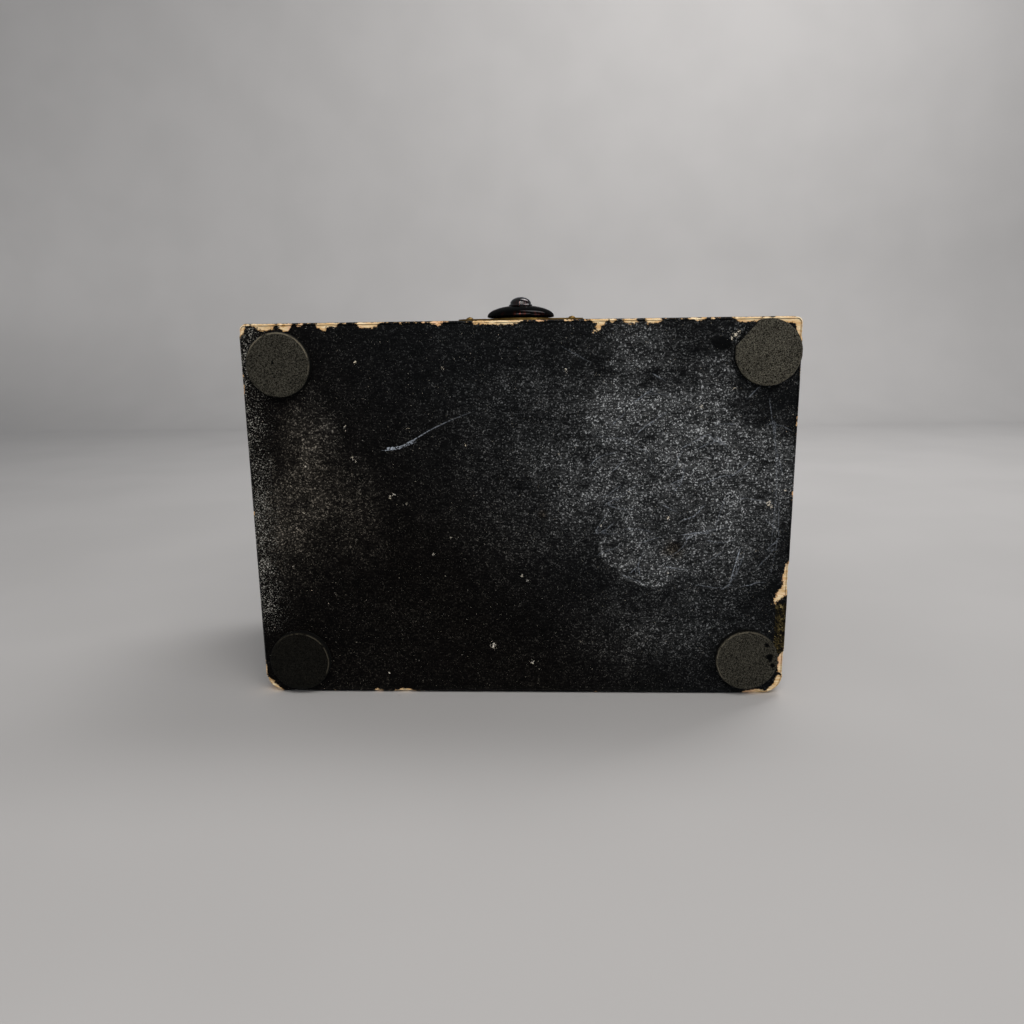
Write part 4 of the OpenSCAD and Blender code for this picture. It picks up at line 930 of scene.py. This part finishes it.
def rounded_block(low, high, round_r, step):
    """Points and faces of a closed block with round edges and a fine grid on every side."""
    spread = round_r * (1 - np.tan(np.radians([45, 30, 15])))
    lines = []
    for near, far in zip(low, high):
        count = max(round((far - near - 2 * round_r) / step), 1)
        flat = np.linspace(near + round_r, far - round_r, count + 1)
        lines.append(np.concatenate([near + spread, flat, far - spread[::-1]]))
    quads = []
    for axis in range(3):
        u, v = (axis + 1) % 3, (axis + 2) % 3
        for end in (0, len(lines[axis]) - 1):
            for i, j in np.ndindex(len(lines[u]) - 1, len(lines[v]) - 1):
                quad = []
                for step_u, step_v in ((0, 0), (1, 0), (1, 1), (0, 1)):
                    cell = [end] * 3
                    cell[u], cell[v] = i + step_u, j + step_v
                    quad.append(tuple(cell))
                quads.append(quad if end else quad[::-1])
    number = {cell: n for n, cell in enumerate(dict.fromkeys(c for quad in quads for c in quad))}
    points = np.array([[lines[axis][cell[axis]] for axis in range(3)] for cell in number])
    core = np.clip(points, np.array(low) + round_r, np.array(high) - round_r)
    away = points - core
    points = core + round_r * away / np.linalg.norm(away, axis=1)[:, None]
    return points, [[number[cell] for cell in quad] for quad in quads]


def evaluated_mesh(obj):
    """A copy of an object's mesh as its modifiers leave it."""
    return bpy.data.meshes.new_from_object(obj.evaluated_get(bpy.context.evaluated_depsgraph_get()))


def swollen(points, faces, most):
    """A closed form swelled as cloth by air pressure. No point moves further than `most` millimetres."""
    mesh = bpy.data.meshes.new("swelling")
    mesh.from_pydata((points * MM * SWELL_SCALE).tolist(), [], faces)
    obj = placed("swelling", mesh)
    scene = bpy.context.scene
    remesh = obj.modifiers.new("even_mesh", "REMESH")
    remesh.mode, remesh.voxel_size = "VOXEL", SWELL_VOXEL_M
    before = evaluated_mesh(obj)
    obj.modifiers.clear()
    obj.data = before
    cloth = obj.modifiers.new("cloth", "CLOTH")
    cloth.settings.use_pressure = True
    cloth.settings.uniform_pressure_force = SWELL_PRESSURE
    cloth.settings.effector_weights.gravity = 0
    cloth.point_cache.frame_start, cloth.point_cache.frame_end = 1, SWELL_FRAMES
    for frame_number in range(1, SWELL_FRAMES + 1):
        scene.frame_set(frame_number)
    after = evaluated_mesh(obj)
    start, end = mesh_points(before) / SWELL_SCALE, mesh_points(after) / SWELL_SCALE
    faces = [tuple(face.vertices) for face in after.polygons]
    bpy.data.objects.remove(obj)
    scene.frame_set(1)
    move = end - start
    length = np.linalg.norm(move, axis=1)[:, None] + 1e-9
    return start + move * np.minimum(1, most / length), faces


def velvet_piece(name, node, points, faces, body):
    """A padded piece of velvet that stands for a CAD node."""
    piece = add_mesh(name, points, faces, MATERIALS["velvet"], body)
    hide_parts(node)
    return piece


def make_cushion():
    """The soft floor of the trinket well: crowned in the middle, tucked in round its edges."""
    low, high = node_box("well_cushion")
    round_r, step, swell = 0.8, 1.6, 0.9
    points, faces = rounded_block(low + (0.35, 0.35, 0.1), high - (0.35, 0.35, swell), round_r, step)
    points, faces = swollen(points, faces, swell)
    middle, half = (low + high) / 2, (high - low) / 2
    across, along = (points[:, 0] - middle[0]) / half[0], (points[:, 1] - middle[1]) / half[1]
    crown = (1 - np.clip(np.abs(across), 0, 1) ** 4) * (1 - np.clip(np.abs(along), 0, 1) ** 4)
    top = ease(points[:, 2], low[2] + 0.6, high[2] - 1.2)
    flat = np.stack([points[:, 0], points[:, 1], 0 * across], 1)
    wrinkle = fractal(flat, 9.0, 181, 3) - 0.5 + 0.4 * (fractal(flat, 3.0, 183, 2) - 0.5)
    points[:, 2] += top * (1.0 * crown + 1.8 * wrinkle * crown)
    points = np.clip(points, low + 0.05, (high[0] - 0.05, high[1] - 0.05, high[2] + 2.2))
    cushion = velvet_piece("velvet_cushion", "well_cushion", points, faces, "case")
    smooth = cushion.modifiers.new("smooth_cloth", "SUBSURF")
    smooth.levels = smooth.render_levels = 1


def lining_section(top, low_z, count):
    """A padded wall's cut: up its face, over its round top and down its back, as (inset, z)."""
    radius = LINING_T / 2 - 0.05
    face_z = np.linspace(low_z, top - radius, count)
    swell = np.sin(np.pi * np.clip((face_z - low_z) / (top - low_z), 0, 1)) ** 0.5
    section = [(LINING_T * (0.86 + 0.1 * s), z) for s, z in zip(swell, face_z)]
    reach = section[-1][0] / 2
    over = np.radians(np.arange(20, 181, 20))
    section += [(reach + (reach - 0.04) * math.cos(a), top - radius + radius * math.sin(a)) for a in over]
    section += [(0.04, z) for z in np.linspace(top - radius, low_z, 5)[1:]]
    return np.array(section)


def make_well_lining():
    """Padded velvet walls round the well, cut down at the front left where the catch's arm turns."""
    low, high = node_box("well_lining")
    spindle_z = sum(node_box("catch_knob"))[2] / 2
    notch_x, notch_top, step, rows = 10.0, spindle_z - 5, 0.8, 36
    corners = [(low[0], low[1]), (high[0], low[1]), (high[0], high[1]), (low[0], high[1])]
    inward = [(0, 1), (-1, 0), (0, -1), (1, 0)]
    stations = []
    for side in range(4):
        start, end = np.array(corners[side]), np.array(corners[(side + 1) % 4])
        count = round(np.linalg.norm(end - start) / step)
        for k in range(count):
            turn = np.array(inward[side], float) + (np.array(inward[side - 1]) if k == 0 else 0)
            stations.append((start + (end - start) * k / count, turn))
    rings = []
    for place, turn in stations:
        notched = place[1] < low[1] + 0.9 and place[0] < notch_x
        section = lining_section(notch_top if notched else high[2], low[2], rows)
        rings.append([[*(place + turn * inset), z] for inset, z in section])
    points = np.array(rings)
    shape = points.shape
    flat = points.reshape(-1, 3)
    turns = np.repeat([turn for _, turn in stations], shape[1], axis=0)
    front = np.tile(np.arange(shape[1]) < rows + 4, shape[0])
    pucker = fractal(flat, 2.6, 191, 3, stretch=(1, 1, 4)) + 0.5 * fractal(flat, 7.0, 193, 2) - 0.75
    flat[:, :2] += turns * (0.5 * pucker * front)[:, None]
    index = np.arange(shape[0] * shape[1]).reshape(shape[:2])
    after, up = np.roll(index, -1, 0), np.roll(index, -1, 1)
    faces = np.stack([index, up, np.roll(up, -1, 0), after], -1).reshape(-1, 4).tolist()
    velvet_piece("velvet_walls", "well_lining", flat, faces, "case")


def make_lid_lining():
    """Velvet over card inside the lid, round the mirror."""
    low, high = node_box("lid_lining")
    round_r, step = 0.35, 0.9
    points, faces = rounded_block(low, high, round_r, step)
    shown = points[:, 2] < low[2] + 0.3
    inside = np.minimum(points - low, high - points)[:, :2].min(1)
    puff = 0.3 * ease(inside, 0.0, 3.0) * (fractal(points, 5.0, 197, 3) - 0.2)
    points[:, 2] -= shown * puff
    velvet_piece("velvet_lid_lining", "lid_lining", points, faces, "lid")


# ---- softened edges ----

SHARP_DEG = 40
PLATE_SOFT, GLASS_SOFT, BOARD_SOFT = 0.18, 0.15, 0.3


def soften(node, width):
    """Rounds the sharp edges of a CAD node with a modifier, so its mesh stays as packed."""
    bevel = NODES[node].modifiers.new("soft_edges", "BEVEL")
    bevel.width, bevel.segments = width * MM, 3
    bevel.limit_method, bevel.angle_limit = "ANGLE", math.radians(SHARP_DEG)
    bevel.harden_normals = True


make_base_panel()
make_foot_pads()
make_knob()
make_spindle()
make_plate_pins()
make_cushion()
make_well_lining()
make_lid_lining()
soften("catch_plate", PLATE_SOFT)
soften("glass_cover", GLASS_SOFT)
for board in NODE_MATERIALS["case_paint"] + NODE_MATERIALS["lid_paint"]:
    soften(board, BOARD_SOFT)


# ---- stage, light and camera ----

SENSOR_MM, LENS_MM = 36.0, 28.0
CAMERA_AT = Vector((5.4, -32.9, -154.2))
CAMERA_TARGET = Vector((-1.4, -0.6, 1.6))
CAMERA_ROLL_DEG = 0.76


def aim(at, target, up, roll_deg=0.0):
    """A matrix in metres that looks from one point to another, with `up` upright in the picture."""
    forward = (target - at).normalized()
    right = Matrix.Rotation(math.radians(roll_deg), 3, forward) @ forward.cross(up).normalized()
    rotation = Matrix((right, right.cross(forward), -forward)).transposed()
    return Matrix.Translation(at * MM) @ rotation.to_4x4()


def make_camera():
    """The photograph's view: from below, with the box's front upwards in the picture."""
    data = bpy.data.cameras.new("camera")
    data.sensor_width, data.lens = SENSOR_MM, LENS_MM
    data.clip_start, data.clip_end = 0.005, 20
    camera = placed("camera", data)
    camera.matrix_world = aim(CAMERA_AT, CAMERA_TARGET, Vector((0, -1, 0)), CAMERA_ROLL_DEG)
    bpy.context.scene.camera = camera


def softbox(name, at, target, size, watts, color=(1, 1, 1)):
    """A rectangular area light."""
    data = bpy.data.lights.new(name, "AREA")
    data.shape, data.size, data.size_y = "RECTANGLE", size[0] * MM, size[1] * MM
    data.energy, data.color = watts, color
    placed(name, data).matrix_world = aim(Vector(at), Vector(target), Vector((0.1, 1, 0.2)))


def one_sided(name, color, roughness):
    """A plain matt surface that isn't there when it is seen from behind."""
    g = Graph(name)
    shade = g.noise(60.0, 2, 0.5)
    cloudy = g.mix(g.band(shade, 0.3, 0.7), color, tuple(c * 1.04 for c in color))
    g.finish(cloudy, roughness, Specular_IOR_Level=0.1)
    back = g.node("ShaderNodeNewGeometry", out="Backfacing")
    clear = g.node("ShaderNodeBsdfTransparent")
    both = g.node("ShaderNodeMixShader", {0: back, 1: g.shader.outputs[0], 2: clear})
    g.tree.links.new(both, g.tree.nodes["Material Output"].inputs["Surface"])
    return g.material


def stage_mesh(name, points, faces, material):
    """A floor or backdrop that only the camera sees, so it throws no light or shadow on the box."""
    obj = placed(name, smooth_mesh(name, points, faces, material))
    for ray in ("diffuse", "glossy", "transmission", "volume_scatter", "shadow"):
        setattr(obj, f"visible_{ray}", False)


def make_cove():
    """The cloth that the box lies on in the photograph's view, rising to a backdrop behind it."""
    wide, back_wide, near, bend_z, bend_r, top = 3000, 800, -900, 560, 160, -760
    floor_y = HALF_D + 0.2
    bend = [math.pi / 2 * k / 24 for k in range(25)]
    profile = [(floor_y - bend_r * (1 - math.cos(a)), bend_z + bend_r * math.sin(a)) for a in bend]
    profile = [(floor_y, near)] + profile + [(top, bend_z + bend_r)]
    points = []
    for y, z in profile:
        reach = wide if z <= bend_z else back_wide
        points += [(-reach, y, z), (reach, y, z)]
    faces = [(2 * k, 2 * k + 1, 2 * k + 3, 2 * k + 2) for k in range(len(profile) - 1)]
    stage_mesh("cove", points, faces, one_sided("cove_cloth", tint(178, 175, 173), 0.9))


def make_table():
    """The floor that the box stands on in every view from above."""
    wide = 3000
    points = [(-wide, -wide, 0), (wide, -wide, 0), (wide, wide, 0), (-wide, wide, 0)]
    stage_mesh("table", points, [(0, 1, 2, 3)], one_sided("table_top", tint(196, 195, 193), 0.85))


def make_light():
    """A dim even sky, four soft lights for the photograph's view and two for the standing box."""
    world = bpy.data.worlds.new("studio")
    bpy.context.scene.world = world
    world.use_nodes = True
    background = world.node_tree.nodes["Background"].inputs
    background["Color"].default_value, background["Strength"].default_value = (0.93, 0.96, 1.0, 1), 0.3
    softbox("key_overhead", (60, -345, -325), (0, 0, 0), (400, 200), 1.12, (1, 0.98, 0.95))
    softbox("catch_glint", (-20, -385, -255), (0, -38, 27), (90, 45), 0.25)
    softbox("window_right", (420, -120, -260), (0, 0, 0), (260, 420), 0.6, (0.95, 0.97, 1))
    softbox("backdrop_wash", (220, -520, 240), (0, -60, 720), (420, 320), 3.0)
    softbox("standing_top", (-260, 480, 900), (0, 0, 20), (700, 600), 6.0)
    softbox("standing_side", (-900, 330, 260), (0, 0, 20), (500, 500), 4.0)


make_camera()
make_cove()
make_table()
make_light()
bpy.context.scene.view_settings.view_transform = "Standard"
